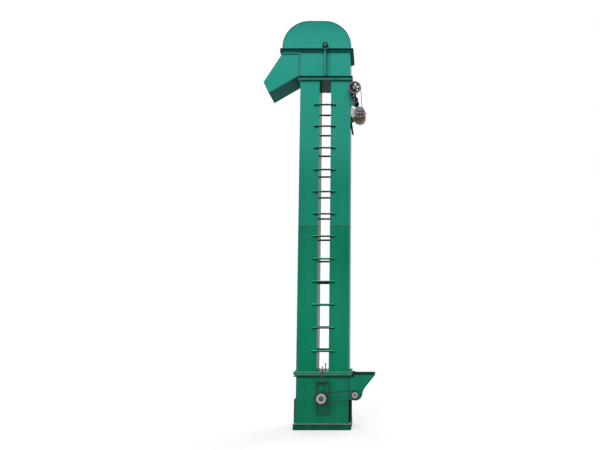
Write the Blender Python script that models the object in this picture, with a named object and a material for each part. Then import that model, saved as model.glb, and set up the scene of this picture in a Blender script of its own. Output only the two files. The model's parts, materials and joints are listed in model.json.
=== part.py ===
"""A two-leg bucket elevator: boot and inlet hopper, two sheet legs with rungs, head, spout and drive.

Metres, +Z up. The origin is the middle of the base frame on the floor. +X is the hopper side, +Y is the back.
Every turning piece has its own origin on its axis, and all axes run along Y.
"""

import math

import bmesh
import bpy
from mathutils import Matrix

for old in list(bpy.data.objects):
    bpy.data.objects.remove(old)

# Clearances
SEAT_GAP = 0.0003
BEARING_GAP = 0.0008
BELT_GAP = 0.0003

# Casing
SHEET = 0.003
LEG_WIDTH = 0.260
LEG_SPACING = 0.160
CASING_DEPTH = 0.420
HALF_DEPTH = CASING_DEPTH / 2
HALF_WIDTH = LEG_SPACING / 2 + LEG_WIDTH
RIM_REACH = 0.032
RIM_PLATE = 0.005

# Rungs between the legs
RUNG_COUNT = 12
RUNG_PITCH = 0.300
RUNG_FIRST = 0.990
RUNG_RADIUS = 0.0125
RUNG_LENGTH = 0.290
RUNG_SIDES = 10

# Heights of the joints between the sections
BASE_HEIGHT = 0.072
BOOT_TOP = 0.692
BOOT_RIM_HEIGHT = 0.025
LEGS_BOTTOM = 0.727
LEGS_TOP = RUNG_FIRST + (RUNG_COUNT - 1) * RUNG_PITCH + 0.342
HEAD_BOTTOM = LEGS_TOP + 0.028
HEAD_RIM_HEIGHT = 0.029
HEAD_TOP = HEAD_BOTTOM + 0.380
HOOD_RIM_HEIGHT = 0.044
HOOD_TOP = HEAD_TOP + 0.452

# Base frame of channel steel
BASE_REACH = 0.030
BASE_FLANGE = 0.040
BASE_PLATE = 0.006
CROSS_WIDTH = 0.100

# Shafts, drums and the bucket belt
HEAD_AXIS_Z = HEAD_TOP + 0.067
TAIL_AXIS_Z = 0.410
HEAD_SHAFT_RADIUS = 0.022
TAIL_SHAFT_RADIUS = 0.020
DRUM_RADIUS = 0.130
DRUM_LENGTH = 0.320
BELT_THICKNESS = 0.006
BELT_MARGIN = 0.010
BELT_WIDTH = DRUM_LENGTH - 2 * BELT_MARGIN
BUCKET_PITCH = 0.235
BUCKET_REACH = 0.118
BUCKET_HEIGHT = 0.110
BUCKET_WIDTH = 0.280
BUCKET_SINK = 0.002
BUCKET_FLOOR = 0.075
BUCKET_BACK_RISE = 0.045
BUCKET_LIP_RISE = 0.020
DRUM_SIDES = 32
SHAFT_SIDES = 20

# Hood and spout, as seen from the front
HOOD_LEFT = -HALF_WIDTH - 0.255
HOOD_RIGHT = HALF_WIDTH + 0.010
HOOD_CORNER = 0.370
HOOD_ARC_STEPS = 9
SPOUT_TOP = HEAD_TOP - 0.026
SPOUT_LIP_UPPER = (-HALF_WIDTH - 0.504, HEAD_BOTTOM - 0.050)
SPOUT_LIP_LOWER = (-HALF_WIDTH - 0.424, HEAD_BOTTOM - 0.192)
SPOUT_HEEL = (-HALF_WIDTH - 0.045, HEAD_BOTTOM + 0.037)
SPOUT_BAND_REACH = 0.010
SPOUT_LAP = 0.050
SHAFT_HOLE_GAP = 0.006

# Posts and pillow blocks of the head shaft
POST_WIDTH = 0.030
POST_REACH = 0.090
POST_PLATE = 0.006
POST_WEB = 0.008
SEAT_WIDTH = 0.076
PILLOW_RADIUS = 0.040
PILLOW_CENTRE_HEIGHT = 0.046
PILLOW_DEPTH = 0.052
PILLOW_BASE_HEIGHT = 0.014
SHAFT_END = 0.006

# Take-up of the tail shaft
GUIDE_SPACING = 0.153
GUIDE_WIDTH = 0.018
GUIDE_DEPTH = 0.040
GUIDE_BOTTOM = 0.209
GUIDE_TOP = 0.611
GUIDE_BAR = 0.012
SLIDE_HEIGHT = 0.240
SLIDE_PLATE = 0.008
TAIL_BEARING_RADIUS = 0.052
TAIL_BEARING_DEPTH = 0.036
SLOT_WIDTH = 0.056
SLOT_HEIGHT = 0.200
SCREW_RADIUS = 0.008
SCREW_REACH = 0.048
SCREW_TOP = 0.800
SCREW_HOLE_GAP = 0.0015
SCREW_LUG_WIDTH = 0.040
SCREW_LUG_HEIGHT = 0.024
NUT_RADIUS = 0.014
NUT_HEIGHT = 0.014

# Inlet hopper with its feeder
FEEDER_X = HALF_WIDTH + 0.085
FEEDER_Z = 0.455
HOPPER_TOP = 0.688
HOPPER_LIP_X = HALF_WIDTH + 0.340
HOPPER_HALF_DEPTH = HALF_DEPTH - 0.005
HOPPER_KNEE = (HALF_WIDTH + 0.199, 0.515)
HOPPER_FLOOR = 0.372
TROUGH_RADIUS = 0.092
TROUGH_START = math.radians(6)
TROUGH_END = math.radians(-100)
TROUGH_STEPS = 8
INLET_BOTTOM = 0.390
INLET_TOP = 0.655
INLET_HALF_DEPTH = HALF_DEPTH - 0.030
FEEDER_SHAFT_RADIUS = 0.0125
FEEDER_CORE_RADIUS = 0.028
FEEDER_VANE_RADIUS = 0.079
FEEDER_VANE_THICKNESS = 0.004
FEEDER_VANES = 6
FEEDER_BEARING_RADIUS = 0.036
FEEDER_BEARING_DEPTH = 0.026
RUNNING_GAP = 0.006

# Boot covers
COVER_THICKNESS = 0.028
COVER_BOTTOM = 0.085
COVER_TOP_LEFT = 0.375
COVER_TOP_RIGHT = 0.352
COVER_HALF_DEPTH = HALF_DEPTH - 0.040

# Small belt from the tail shaft to the feeder
FEEDER_BELT_Y = -HALF_DEPTH - 0.158
TAIL_GROOVE_RADIUS = 0.068
FEEDER_GROOVE_RADIUS = 0.044
GROOVE_FLANGE = 0.004
PULLEY_WIDTH = 0.028
FEEDER_BELT_WIDTH = 0.018
V_BELT_THICKNESS = 0.008
PULLEY_SIDES = 36
PULLEY_RIM = 0.010
PULLEY_WEB = 0.012
TAIL_HUB_RADIUS = 0.032
FEEDER_HUB_RADIUS = 0.020

# Drive: motor, belt, countershaft, chain
DRIVE_X = HALF_WIDTH + 0.061
DRIVE_Z = HEAD_BOTTOM - 0.163
DRIVE_BELT_Y = -HALF_DEPTH - 0.100
DRIVE_GROOVE_RADIUS = 0.079
DRIVE_PULLEY_WIDTH = 0.030
DRIVE_BELT_WIDTH = 0.020
WEB_HOLES = 6
WEB_HOLE_RADIUS = 0.0145
WEB_HOLE_CIRCLE = 0.047
DRIVE_HUB_RADIUS = 0.026
COUNTERSHAFT_RADIUS = 0.015
MOTOR_X = HALF_WIDTH + 0.127
MOTOR_Z = DRIVE_Z - 0.302
MOTOR_GROOVE_RADIUS = 0.031
MOTOR_SHAFT_RADIUS = 0.012
MOTOR_SHAFT_DEPTH = 0.030
MOTOR_HUB_RADIUS = 0.018
MOTOR_FRONT = DRIVE_BELT_Y + 0.100
MOTOR_LENGTH = 0.330
MOTOR_RADIUS = 0.080
MOTOR_SHIELD_RADIUS = 0.074
MOTOR_SHIELD_LENGTH = 0.030
MOTOR_FOOT_HEIGHT = 0.090
MOTOR_FOOT_PLATE = 0.010
MOTOR_FOOT_START = 0.090
MOTOR_FOOT_LENGTH = 0.150
MOTOR_FOOT_HALF = 0.075
MOTOR_FOOT_NECK = 0.032
TERMINAL_BOX_WIDTH = 0.080
TERMINAL_BOX_HEIGHT = 0.032
CHAIN_Y = HALF_DEPTH + 0.125
CHAIN_HALF_HEIGHT = 0.006
CHAIN_WIDTH = 0.018
SPROCKET_WIDTH = 0.010
HEAD_PITCH_RADIUS = 0.120
SMALL_PITCH_RADIUS = 0.040
SPROCKET_HUB_RADIUS = 0.038
SPROCKET_HUB_LENGTH = 0.030
SMALL_HUB_RADIUS = 0.024

# Brackets of the drive on the side of the right leg
BRACKET_PLATE = 0.008
COUNTERSHAFT_BLOCK_Y = HALF_DEPTH - 0.060
COUNTERSHAFT_BLOCK_DEPTH = 0.044
COUNTERSHAFT_BLOCK_HALF = 0.036
COUNTERSHAFT_PLATE_HALF = 0.056
MOTOR_PLATE_BOTTOM = MOTOR_Z - 0.135
MOTOR_PLATE_TOP = MOTOR_Z + 0.230
MOTOR_PLATE_START = MOTOR_FRONT + 0.020
MOTOR_PLATE_LENGTH = 0.320
GUSSET_REACH = 0.062
GUSSET_BOTTOM = MOTOR_Z + 0.085
GUSSET_HOLES = 3
GUSSET_HOLE_RADIUS = 0.008
RAIL_HEIGHT = 0.024


def paint(name, colour, roughness, metallic=0.0):
    """A Principled BSDF material with one colour."""
    made = bpy.data.materials.new(name)
    made.use_nodes = True
    shader = made.node_tree.nodes["Principled BSDF"]
    shader.inputs["Base Color"].default_value = (*colour, 1.0)
    shader.inputs["Roughness"].default_value = roughness
    shader.inputs["Metallic"].default_value = metallic
    return made


GREEN_PAINT = paint("green_paint", (0.003, 0.235, 0.130), 0.35)
STEEL = paint("bare_steel", (0.45, 0.44, 0.42), 0.35, 1.0)
CAST_IRON = paint("cast_iron", (0.10, 0.11, 0.11), 0.50, 0.6)
RUBBER = paint("rubber", (0.012, 0.012, 0.013), 0.75)
MOTOR_GREY = paint("motor_grey", (0.30, 0.33, 0.34), 0.45)


def new_object(name, shape, finish, place):
    """An object made from a bmesh, which is freed."""
    bmesh.ops.recalc_face_normals(shape, faces=shape.faces[:])
    mesh = bpy.data.meshes.new(name)
    shape.to_mesh(mesh)
    shape.free()
    mesh.materials.append(finish)
    made = bpy.data.objects.new(name, mesh)
    made.location = place
    bpy.context.scene.collection.objects.link(made)
    return made


def piece(name, shape, finish, place=(0.0, 0.0, 0.0)):
    """One sub-part. Its curved sides are shaded smooth."""
    made = new_object(name, shape, finish, place)
    made.data.shade_smooth()
    made.data.set_sharp_from_angle(angle=math.radians(30))
    return made


def change(target, shape, operation):
    """Adds a shape to the target or takes it away. The shape is in the target's own coordinates."""
    label = f"{target.name}_{operation.lower()}_{len(target.modifiers)}"
    tool = new_object(label, shape, GREEN_PAINT, target.location)
    tool.hide_render = True
    tool.display_type = "WIRE"
    step = target.modifiers.new(label, "BOOLEAN")
    step.operation = operation
    step.object = tool


def join(target, shape):
    """Fuses a shape to the target."""
    change(target, shape, "UNION")


def cut(target, shape):
    """Cuts a shape out of the target."""
    change(target, shape, "DIFFERENCE")


def boxes(*spans):
    """Boxes that don't touch each other, each given as (x0, x1, y0, y1, z0, z1)."""
    shape = bmesh.new()
    for x0, x1, y0, y1, z0, z1 in spans:
        corners = bmesh.ops.create_cube(shape, size=1.0)["verts"]
        bmesh.ops.scale(shape, verts=corners, vec=(x1 - x0, y1 - y0, z1 - z0))
        bmesh.ops.translate(shape, verts=corners, vec=((x0 + x1) / 2, (y0 + y1) / 2, (z0 + z1) / 2))
    return shape


def extrude_outline(shape, outline, y0, y1):
    """Adds an outline of (x, z) points to the bmesh, extruded from y0 to y1."""
    face = shape.faces.new([shape.verts.new((x, y0, z)) for x, z in outline])
    grown = bmesh.ops.extrude_face_region(shape, geom=[face])["geom"]
    moved = [part for part in grown if isinstance(part, bmesh.types.BMVert)]
    bmesh.ops.translate(shape, verts=moved, vec=(0.0, y1 - y0, 0.0))


def prism(outline, *spans):
    """An outline of (x, z) points, extruded over each (y0, y1) span. The spans don't touch each other."""
    shape = bmesh.new()
    for y0, y1 in spans:
        extrude_outline(shape, outline, y0, y1)
    return shape


def circle(centre, radius, sides):
    """The (x, z) points of a regular polygon."""
    angles = [math.tau * step / sides for step in range(sides)]
    return [(centre[0] + radius * math.cos(angle), centre[1] + radius * math.sin(angle)) for angle in angles]


def arc(centre, radius, begin, end, steps):
    """The (x, z) points of an arc, both ends included."""
    angles = [begin + (end - begin) * step / steps for step in range(steps + 1)]
    return [(centre[0] + radius * math.cos(angle), centre[1] + radius * math.sin(angle)) for angle in angles]


def rod(radius, sides, *spans, centre=(0.0, 0.0)):
    """Round bars along Y, one for each (y0, y1) span."""
    return prism(circle(centre, radius, sides), *spans)


def upright(radius, sides, y, z0, z1):
    """A round bar along Z, at x = 0."""
    shape = bmesh.new()
    bmesh.ops.create_cone(shape, cap_ends=True, segments=sides, radius1=radius, radius2=radius, depth=z1 - z0)
    bmesh.ops.translate(shape, verts=shape.verts[:], vec=(0.0, y, (z0 + z1) / 2))
    return shape


def bore(radius, gap, sides):
    """The corner radius of a many-sided hole whose flats clear a shaft by a gap."""
    return (radius + gap) / math.cos(math.pi / sides)


def inset_corner(before, corner, after, distance):
    """Where two walls of a sheet shape meet on the inside. The outline runs with its inside on the right."""
    lines = []
    for start, end in ((before, corner), (corner, after)):
        run = (end[0] - start[0], end[1] - start[1])
        length = math.hypot(*run)
        normal = (run[1] / length, -run[0] / length)
        lines.append((*normal, normal[0] * corner[0] + normal[1] * corner[1] + distance))
    (a0, b0, c0), (a1, b1, c1) = lines
    turn = a0 * b1 - a1 * b0
    return ((c0 * b1 - c1 * b0) / turn, (a0 * c1 - a1 * c0) / turn)


def loop_outline(first, first_radius, second, second_radius, sides):
    """The (x, z) outline of a loop pulled tight round two circles."""
    across = (second[0] - first[0], second[1] - first[1])
    heading = math.atan2(across[1], across[0])
    lean = math.acos((first_radius - second_radius) / math.hypot(*across))
    first_steps = math.ceil(sides * (math.pi - lean) / math.pi)
    second_steps = math.ceil(sides * lean / math.pi)
    points = arc(first, first_radius, heading + lean, heading - lean + math.tau, first_steps)
    return points + arc(second, second_radius, heading - lean, heading + lean, second_steps)


def band(name, finish, first, first_radius, second, second_radius, thickness, width, middle, sides):
    """A closed belt or chain round two pulleys of the given radii, as one fixed loop."""
    inner = [bore(radius, BELT_GAP, sides) for radius in (first_radius, second_radius)]
    outer = [radius + thickness for radius in inner]
    span = (middle - width / 2, middle + width / 2)
    made = piece(name, prism(loop_outline(first, outer[0], second, outer[1], sides), span), finish)
    cut(made, prism(loop_outline(first, inner[0], second, inner[1], sides), (middle - width, middle + width)))
    return made


def pulley(name, finish, place, groove_radius, width, belt_width, middle, hub_radius):
    """A belt pulley with two flanges, a thin web and a hub. A shaft is fused on afterwards."""
    half, half_groove = width / 2, belt_width / 2 + BELT_GAP
    made = piece(name, rod(groove_radius, PULLEY_SIDES, (middle - half, middle + half)), finish, place)
    flanges = ((middle - half, middle - half_groove), (middle + half_groove, middle + half))
    join(made, rod(groove_radius + GROOVE_FLANGE, PULLEY_SIDES, *flanges))
    recesses = ((middle - width, middle - PULLEY_WEB / 2), (middle + PULLEY_WEB / 2, middle + width))
    cut(made, rod(groove_radius - PULLEY_RIM, PULLEY_SIDES, *recesses))
    join(made, rod(hub_radius, SHAFT_SIDES, (middle - half, middle + half)))
    return made


def channel_rim(target, x0, x1, z0, z1):
    """A rim of channel steel round a casing: a web on the wall, with a plate above and below."""
    web, reach = HALF_DEPTH + RIM_PLATE, HALF_DEPTH + RIM_REACH
    join(target, boxes((x0 - RIM_PLATE, x1 + RIM_PLATE, -web, web, z0, z1)))
    span = (x0 - RIM_REACH, x1 + RIM_REACH, -reach, reach)
    join(target, boxes((*span, z0, z0 + RIM_PLATE), (*span, z1 - RIM_PLATE, z1)))


def build_base_frame():
    """Channel steel round the foot, with one cross channel whose web lies on the floor."""
    out_x, out_y = HALF_WIDTH + BASE_REACH, HALF_DEPTH + BASE_REACH
    in_x, in_y = out_x - BASE_FLANGE, out_y - BASE_FLANGE
    web_x, web_y = out_x - BASE_PLATE, out_y - BASE_PLATE
    cross = CROSS_WIDTH / 2
    frame = piece("base_frame", boxes((-out_x, out_x, -out_y, out_y, 0.0, BASE_HEIGHT)), GREEN_PAINT)
    through = (-BASE_HEIGHT, 2 * BASE_HEIGHT)
    cut(frame, boxes((-in_x, -cross, -in_y, in_y, *through), (cross, in_x, -in_y, in_y, *through)))
    groove = (BASE_PLATE, BASE_HEIGHT - BASE_PLATE)
    cut(frame, boxes((-web_x, -cross, -web_y, web_y, *groove), (cross, web_x, -web_y, web_y, *groove)))
    inner = cross - BASE_PLATE
    cut(frame, boxes((-inner, inner, -in_y, in_y, BASE_PLATE, 2 * BASE_HEIGHT)))


def build_boot():
    """The sheet boot, open on top, with the inlet in its right wall and slots for the tail shaft."""
    floor = BASE_HEIGHT + SEAT_GAP
    top = BOOT_TOP - SEAT_GAP
    rim_bottom = BOOT_TOP - BOOT_RIM_HEIGHT
    shell = boxes((-HALF_WIDTH, HALF_WIDTH, -HALF_DEPTH, HALF_DEPTH, floor, top))
    boot = piece("boot_casing", shell, GREEN_PAINT)
    channel_rim(boot, -HALF_WIDTH, HALF_WIDTH, rim_bottom, top)
    hopper_side = HOPPER_HALF_DEPTH + SEAT_GAP
    cut(boot, boxes((HALF_WIDTH, 2 * HALF_WIDTH, -hopper_side, hopper_side, rim_bottom - RIM_PLATE, 2 * top)))
    wall_x, wall_y = HALF_WIDTH - SHEET, HALF_DEPTH - SHEET
    cut(boot, boxes((-wall_x, wall_x, -wall_y, wall_y, floor + SHEET, 2 * top)))
    inlet = boxes((wall_x / 2, 2 * wall_x, -INLET_HALF_DEPTH, INLET_HALF_DEPTH, INLET_BOTTOM, INLET_TOP))
    cut(boot, inlet)
    slot = (-SLOT_WIDTH / 2, SLOT_WIDTH / 2, -CASING_DEPTH, CASING_DEPTH)
    cut(boot, boxes((*slot, TAIL_AXIS_Z - SLOT_HEIGHT / 2, TAIL_AXIS_Z + SLOT_HEIGHT / 2)))


def build_boot_covers():
    """The clean-out covers low on both sides of the boot."""
    near, far = HALF_WIDTH + SEAT_GAP, HALF_WIDTH + COVER_THICKNESS
    depth = (-COVER_HALF_DEPTH, COVER_HALF_DEPTH)
    for name, side, top in (("left", -1, COVER_TOP_LEFT), ("right", 1, COVER_TOP_RIGHT)):
        slab = boxes((*facing(side, near, far), *depth, COVER_BOTTOM, top))
        piece(f"boot_cover_{name}", slab, GREEN_PAINT)


def facing(side, near, far):
    """A span of distances from the casing's middle, on its front (side -1) or its back (side 1)."""
    return sorted((side * near, side * far))


def build_takeup(label, side):
    """Guides, sliding bearing and screw of the tail shaft on one face of the boot."""
    wall = HALF_DEPTH + SEAT_GAP
    screw_y = HALF_DEPTH + SCREW_REACH
    outer = (GUIDE_SPACING + GUIDE_WIDTH) / 2
    inner = (GUIDE_SPACING - GUIDE_WIDTH) / 2
    guide_y = facing(side, wall, wall + GUIDE_DEPTH)
    guides = boxes(
        (-outer, -inner, *guide_y, GUIDE_BOTTOM, GUIDE_TOP), (inner, outer, *guide_y, GUIDE_BOTTOM, GUIDE_TOP)
    )
    frame = piece(f"takeup_frame_{label}", guides, GREEN_PAINT)
    join(frame, boxes((-outer, outer, *guide_y, GUIDE_BOTTOM, GUIDE_BOTTOM + GUIDE_BAR)))
    bracket_y = facing(side, wall, screw_y + NUT_RADIUS)
    join(frame, boxes((-outer, outer, *bracket_y, GUIDE_TOP - GUIDE_BAR, GUIDE_TOP)))
    hole = bore(SCREW_RADIUS, SCREW_HOLE_GAP, SHAFT_SIDES)
    cut(frame, upright(hole, SHAFT_SIDES, side * screw_y, GUIDE_TOP - 2 * GUIDE_BAR, GUIDE_TOP + GUIDE_BAR))

    slide = inner - SEAT_GAP
    slide_top = TAIL_AXIS_Z + SLIDE_HEIGHT / 2
    plate_y = facing(side, wall, wall + SLIDE_PLATE)
    plate = boxes((-slide, slide, *plate_y, slide_top - SLIDE_HEIGHT, slide_top))
    bearing = piece(f"tail_bearing_{label}", plate, CAST_IRON)
    housing = facing(side, wall + SLIDE_PLATE / 2, wall + SLIDE_PLATE + TAIL_BEARING_DEPTH)
    join(bearing, rod(TAIL_BEARING_RADIUS, DRUM_SIDES, housing, centre=(0.0, TAIL_AXIS_Z)))
    lug = SCREW_LUG_WIDTH / 2
    lug_y = facing(side, wall + SLIDE_PLATE / 2, screw_y + SCREW_RADIUS)
    join(bearing, boxes((-lug, lug, *lug_y, slide_top - SCREW_LUG_HEIGHT, slide_top)))
    shaft_hole = bore(TAIL_SHAFT_RADIUS, BEARING_GAP, SHAFT_SIDES)
    through = facing(side, HALF_DEPTH / 2, CASING_DEPTH)
    cut(bearing, rod(shaft_hole, SHAFT_SIDES, through, centre=(0.0, TAIL_AXIS_Z)))

    thread = upright(SCREW_RADIUS, SHAFT_SIDES // 2, side * screw_y, slide_top + SEAT_GAP, SCREW_TOP)
    screw = piece(f"takeup_screw_{label}", thread, STEEL)
    nut_top = GUIDE_TOP - GUIDE_BAR - SEAT_GAP
    join(screw, upright(NUT_RADIUS, 6, side * screw_y, nut_top - NUT_HEIGHT, nut_top))


def build_tail_shaft():
    """The tail shaft with its drum and the pulley that drives the feeder."""
    place = (0.0, 0.0, TAIL_AXIS_Z)
    shaft = pulley(
        "tail_shaft",
        STEEL,
        place,
        TAIL_GROOVE_RADIUS,
        PULLEY_WIDTH,
        FEEDER_BELT_WIDTH,
        FEEDER_BELT_Y,
        TAIL_HUB_RADIUS,
    )
    front = FEEDER_BELT_Y - PULLEY_WIDTH / 2 - SHAFT_END
    back = HALF_DEPTH + SLIDE_PLATE + TAIL_BEARING_DEPTH + 2 * SHAFT_END
    join(shaft, rod(TAIL_SHAFT_RADIUS, SHAFT_SIDES, (front, back)))
    join(shaft, rod(DRUM_RADIUS, DRUM_SIDES, (-DRUM_LENGTH / 2, DRUM_LENGTH / 2)))


def build_hopper():
    """The inlet hopper: a sloping front over a round trough, open on top and towards the boot."""
    wall = HALF_WIDTH + SEAT_GAP
    centre = (FEEDER_X, FEEDER_Z)
    lip = (HOPPER_LIP_X, HOPPER_TOP)
    trough = arc(centre, TROUGH_RADIUS, TROUGH_START, TROUGH_END, TROUGH_STEPS)
    outline = [(wall, HOPPER_TOP), lip, HOPPER_KNEE, *trough, (wall, HOPPER_FLOOR)]
    side = HOPPER_HALF_DEPTH
    hopper = piece("inlet_hopper", prism(outline, (-side, side)), GREEN_PAINT)
    inner_knee = inset_corner(lip, HOPPER_KNEE, trough[0], SHEET)
    inner_lip = inset_corner((wall, HOPPER_TOP), lip, HOPPER_KNEE, SHEET)
    slope = (inner_lip[0] - inner_knee[0]) / (inner_lip[1] - inner_knee[1])
    above = (inner_lip[0] + slope * SHEET * 2, inner_lip[1] + SHEET * 2)
    inner_trough = arc(centre, TROUGH_RADIUS - SHEET, TROUGH_START, TROUGH_END, TROUGH_STEPS)
    behind = wall - SHEET
    inside = [(behind, above[1]), above, inner_knee, *inner_trough, (behind, HOPPER_FLOOR + SHEET)]
    cut(hopper, prism(inside, (SHEET - side, side - SHEET)))
    hole = bore(FEEDER_SHAFT_RADIUS, RUNNING_GAP, SHAFT_SIDES)
    cut(hopper, rod(hole, SHAFT_SIDES, (-2 * side, 2 * side), centre=centre))


def build_feeder():
    """The vaned feeder in the trough, its pulley, and a flanged bearing on each side plate."""
    place = (FEEDER_X, 0.0, FEEDER_Z)
    rotor = pulley(
        "feeder_rotor",
        STEEL,
        place,
        FEEDER_GROOVE_RADIUS,
        PULLEY_WIDTH,
        FEEDER_BELT_WIDTH,
        FEEDER_BELT_Y,
        FEEDER_HUB_RADIUS,
    )
    front = FEEDER_BELT_Y - PULLEY_WIDTH / 2 - SHAFT_END
    back = HOPPER_HALF_DEPTH + FEEDER_BEARING_DEPTH + SHAFT_END
    join(rotor, rod(FEEDER_SHAFT_RADIUS, SHAFT_SIDES, (front, back)))
    half = HOPPER_HALF_DEPTH - SHEET - RUNNING_GAP
    join(rotor, rod(FEEDER_CORE_RADIUS, SHAFT_SIDES, (-half, half)))
    vanes = bmesh.new()
    for step in range(FEEDER_VANES):
        angle = math.tau * step / FEEDER_VANES
        along = (math.cos(angle), math.sin(angle))
        edge = FEEDER_VANE_THICKNESS / 2
        corners = (
            (FEEDER_CORE_RADIUS / 2, -edge),
            (FEEDER_VANE_RADIUS, -edge),
            (FEEDER_VANE_RADIUS, edge),
            (FEEDER_CORE_RADIUS / 2, edge),
        )
        outline = [(r * along[0] - t * along[1], r * along[1] + t * along[0]) for r, t in corners]
        extrude_outline(vanes, outline, -half, half)
    join(rotor, vanes)
    for label, side in (("front", -1), ("back", 1)):
        near = HOPPER_HALF_DEPTH + SEAT_GAP
        depth = facing(side, near, near + FEEDER_BEARING_DEPTH)
        centre = (FEEDER_X, FEEDER_Z)
        disc = rod(FEEDER_BEARING_RADIUS, SHAFT_SIDES, depth, centre=centre)
        bearing = piece(f"feeder_bearing_{label}", disc, CAST_IRON)
        hole = bore(FEEDER_SHAFT_RADIUS, BEARING_GAP, SHAFT_SIDES)
        cut(bearing, rod(hole, SHAFT_SIDES, facing(side, near / 2, 2 * near), centre=centre))


def build_leg_flanges():
    """The folded plates under and over the legs, each open towards the casing that it is bolted to."""
    out_x, out_y = HALF_WIDTH + RIM_REACH, HALF_DEPTH + RIM_REACH
    in_x, in_y = out_x - RIM_PLATE, out_y - RIM_PLATE
    for name, low, high, hollow in (
        ("legs_bottom_flange", BOOT_TOP, LEGS_BOTTOM, (0.0, LEGS_BOTTOM - RIM_PLATE)),
        ("legs_top_flange", LEGS_TOP, HEAD_BOTTOM, (LEGS_TOP + RIM_PLATE, HEAD_TOP)),
    ):
        plate = piece(name, boxes((-out_x, out_x, -out_y, out_y, low, high)), GREEN_PAINT)
        cut(plate, boxes((-in_x, in_x, -in_y, in_y, *hollow)))
        cut(plate, leg_insides(low - RIM_PLATE, high + RIM_PLATE))


def leg_insides(z0, z1):
    """The free space in both legs, between two heights."""
    near, far = LEG_SPACING / 2 + SHEET, HALF_WIDTH - SHEET
    depth = (SHEET - HALF_DEPTH, HALF_DEPTH - SHEET)
    return boxes((-far, -near, *depth, z0, z1), (near, far, *depth, z0, z1))


def build_legs():
    """The two sheet legs. The buckets go up in the right one and down in the left one."""
    near = LEG_SPACING / 2
    heights = (LEGS_BOTTOM + SEAT_GAP, LEGS_TOP - SEAT_GAP)
    depth = (-HALF_DEPTH, HALF_DEPTH)
    for name, x0, x1 in (("left_leg", -HALF_WIDTH, -near), ("right_leg", near, HALF_WIDTH)):
        leg = piece(name, boxes((x0, x1, *depth, *heights)), GREEN_PAINT)
        cut(leg, leg_insides(0.0, 2 * LEGS_TOP))


def build_rungs():
    """Round bars welded across both legs, on the front and on the back."""
    bar = bmesh.new()
    bmesh.ops.create_cone(
        bar, cap_ends=True, segments=RUNG_SIDES, radius1=RUNG_RADIUS, radius2=RUNG_RADIUS, depth=RUNG_LENGTH
    )
    bmesh.ops.rotate(bar, verts=bar.verts[:], matrix=Matrix.Rotation(math.pi / 2, 3, "Y"))
    reach = HALF_DEPTH + SEAT_GAP + RUNG_RADIUS
    for label, side in (("front", -1), ("back", 1)):
        for step in range(RUNG_COUNT):
            place = (0.0, side * reach, RUNG_FIRST + step * RUNG_PITCH)
            piece(f"{label}_rung_{step + 1:02d}", bar.copy(), GREEN_PAINT, place)
    bar.free()


def build_head_casing():
    """The sheet head below the hood, with a post on both faces that carries a bearing of the head shaft."""
    floor, top = HEAD_BOTTOM + SEAT_GAP, HEAD_TOP - SEAT_GAP
    shell = boxes((-HALF_WIDTH, HALF_WIDTH, -HALF_DEPTH, HALF_DEPTH, floor, top))
    head = piece("head_casing", shell, GREEN_PAINT)
    rim_top = HEAD_BOTTOM + HEAD_RIM_HEIGHT
    channel_rim(head, -HALF_WIDTH, HALF_WIDTH, floor, rim_top)
    far = HALF_DEPTH + POST_REACH
    near = HALF_DEPTH + RIM_REACH + SEAT_GAP
    seat_top = HEAD_AXIS_Z - PILLOW_CENTRE_HEIGHT
    web, plate, seat = POST_WEB / 2, POST_WIDTH / 2, SEAT_WIDTH / 2
    for side in (-1, 1):
        web_y = facing(side, HALF_DEPTH - SHEET / 2, far)
        join(head, boxes((-web, web, *web_y, rim_top - RIM_PLATE / 2, top)))
        join(head, boxes((-plate, plate, *facing(side, far - POST_PLATE, far), rim_top, seat_top)))
        join(head, boxes((-seat, seat, *facing(side, near, far), seat_top - POST_PLATE, seat_top)))
    wall_x, wall_y = HALF_WIDTH - SHEET, HALF_DEPTH - SHEET
    cut(head, boxes((-wall_x, wall_x, -wall_y, wall_y, 0.0, 2 * top)))
    outlet = SPOUT_HEEL[1] + SHEET
    cut(head, boxes((-2 * wall_x, -wall_x / 2, -wall_y, wall_y, outlet, 2 * top)))


def build_head_bearings():
    """A pillow block on each post."""
    base = HEAD_AXIS_Z - PILLOW_CENTRE_HEIGHT + SEAT_GAP
    far = HALF_DEPTH + POST_REACH
    centre = (0.0, HEAD_AXIS_Z)
    seat = SEAT_WIDTH / 2
    for label, side in (("front", -1), ("back", 1)):
        depth = facing(side, far - PILLOW_DEPTH, far)
        housing = rod(PILLOW_RADIUS, SHAFT_SIDES, depth, centre=centre)
        block = piece(f"head_bearing_{label}", housing, CAST_IRON)
        join(block, boxes((-seat, seat, *depth, base, base + PILLOW_BASE_HEIGHT)))
        hole = bore(HEAD_SHAFT_RADIUS, BEARING_GAP, SHAFT_SIDES)
        cut(block, rod(hole, SHAFT_SIDES, facing(side, HALF_DEPTH, 2 * far), centre=centre))


def hood_outline(inset, bottom):
    """The hood's (x, z) outline with its two round corners, set in by a wall."""
    left, right, top = HOOD_LEFT + inset, HOOD_RIGHT - inset, HOOD_TOP - inset
    radius = HOOD_CORNER - inset
    left_arc = arc((left + radius, top - radius), radius, math.pi, math.pi / 2, HOOD_ARC_STEPS)
    right_arc = arc((right - radius, top - radius), radius, math.pi / 2, 0.0, HOOD_ARC_STEPS)
    return [(left, bottom), *left_arc, *right_arc, (right, bottom)]


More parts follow.
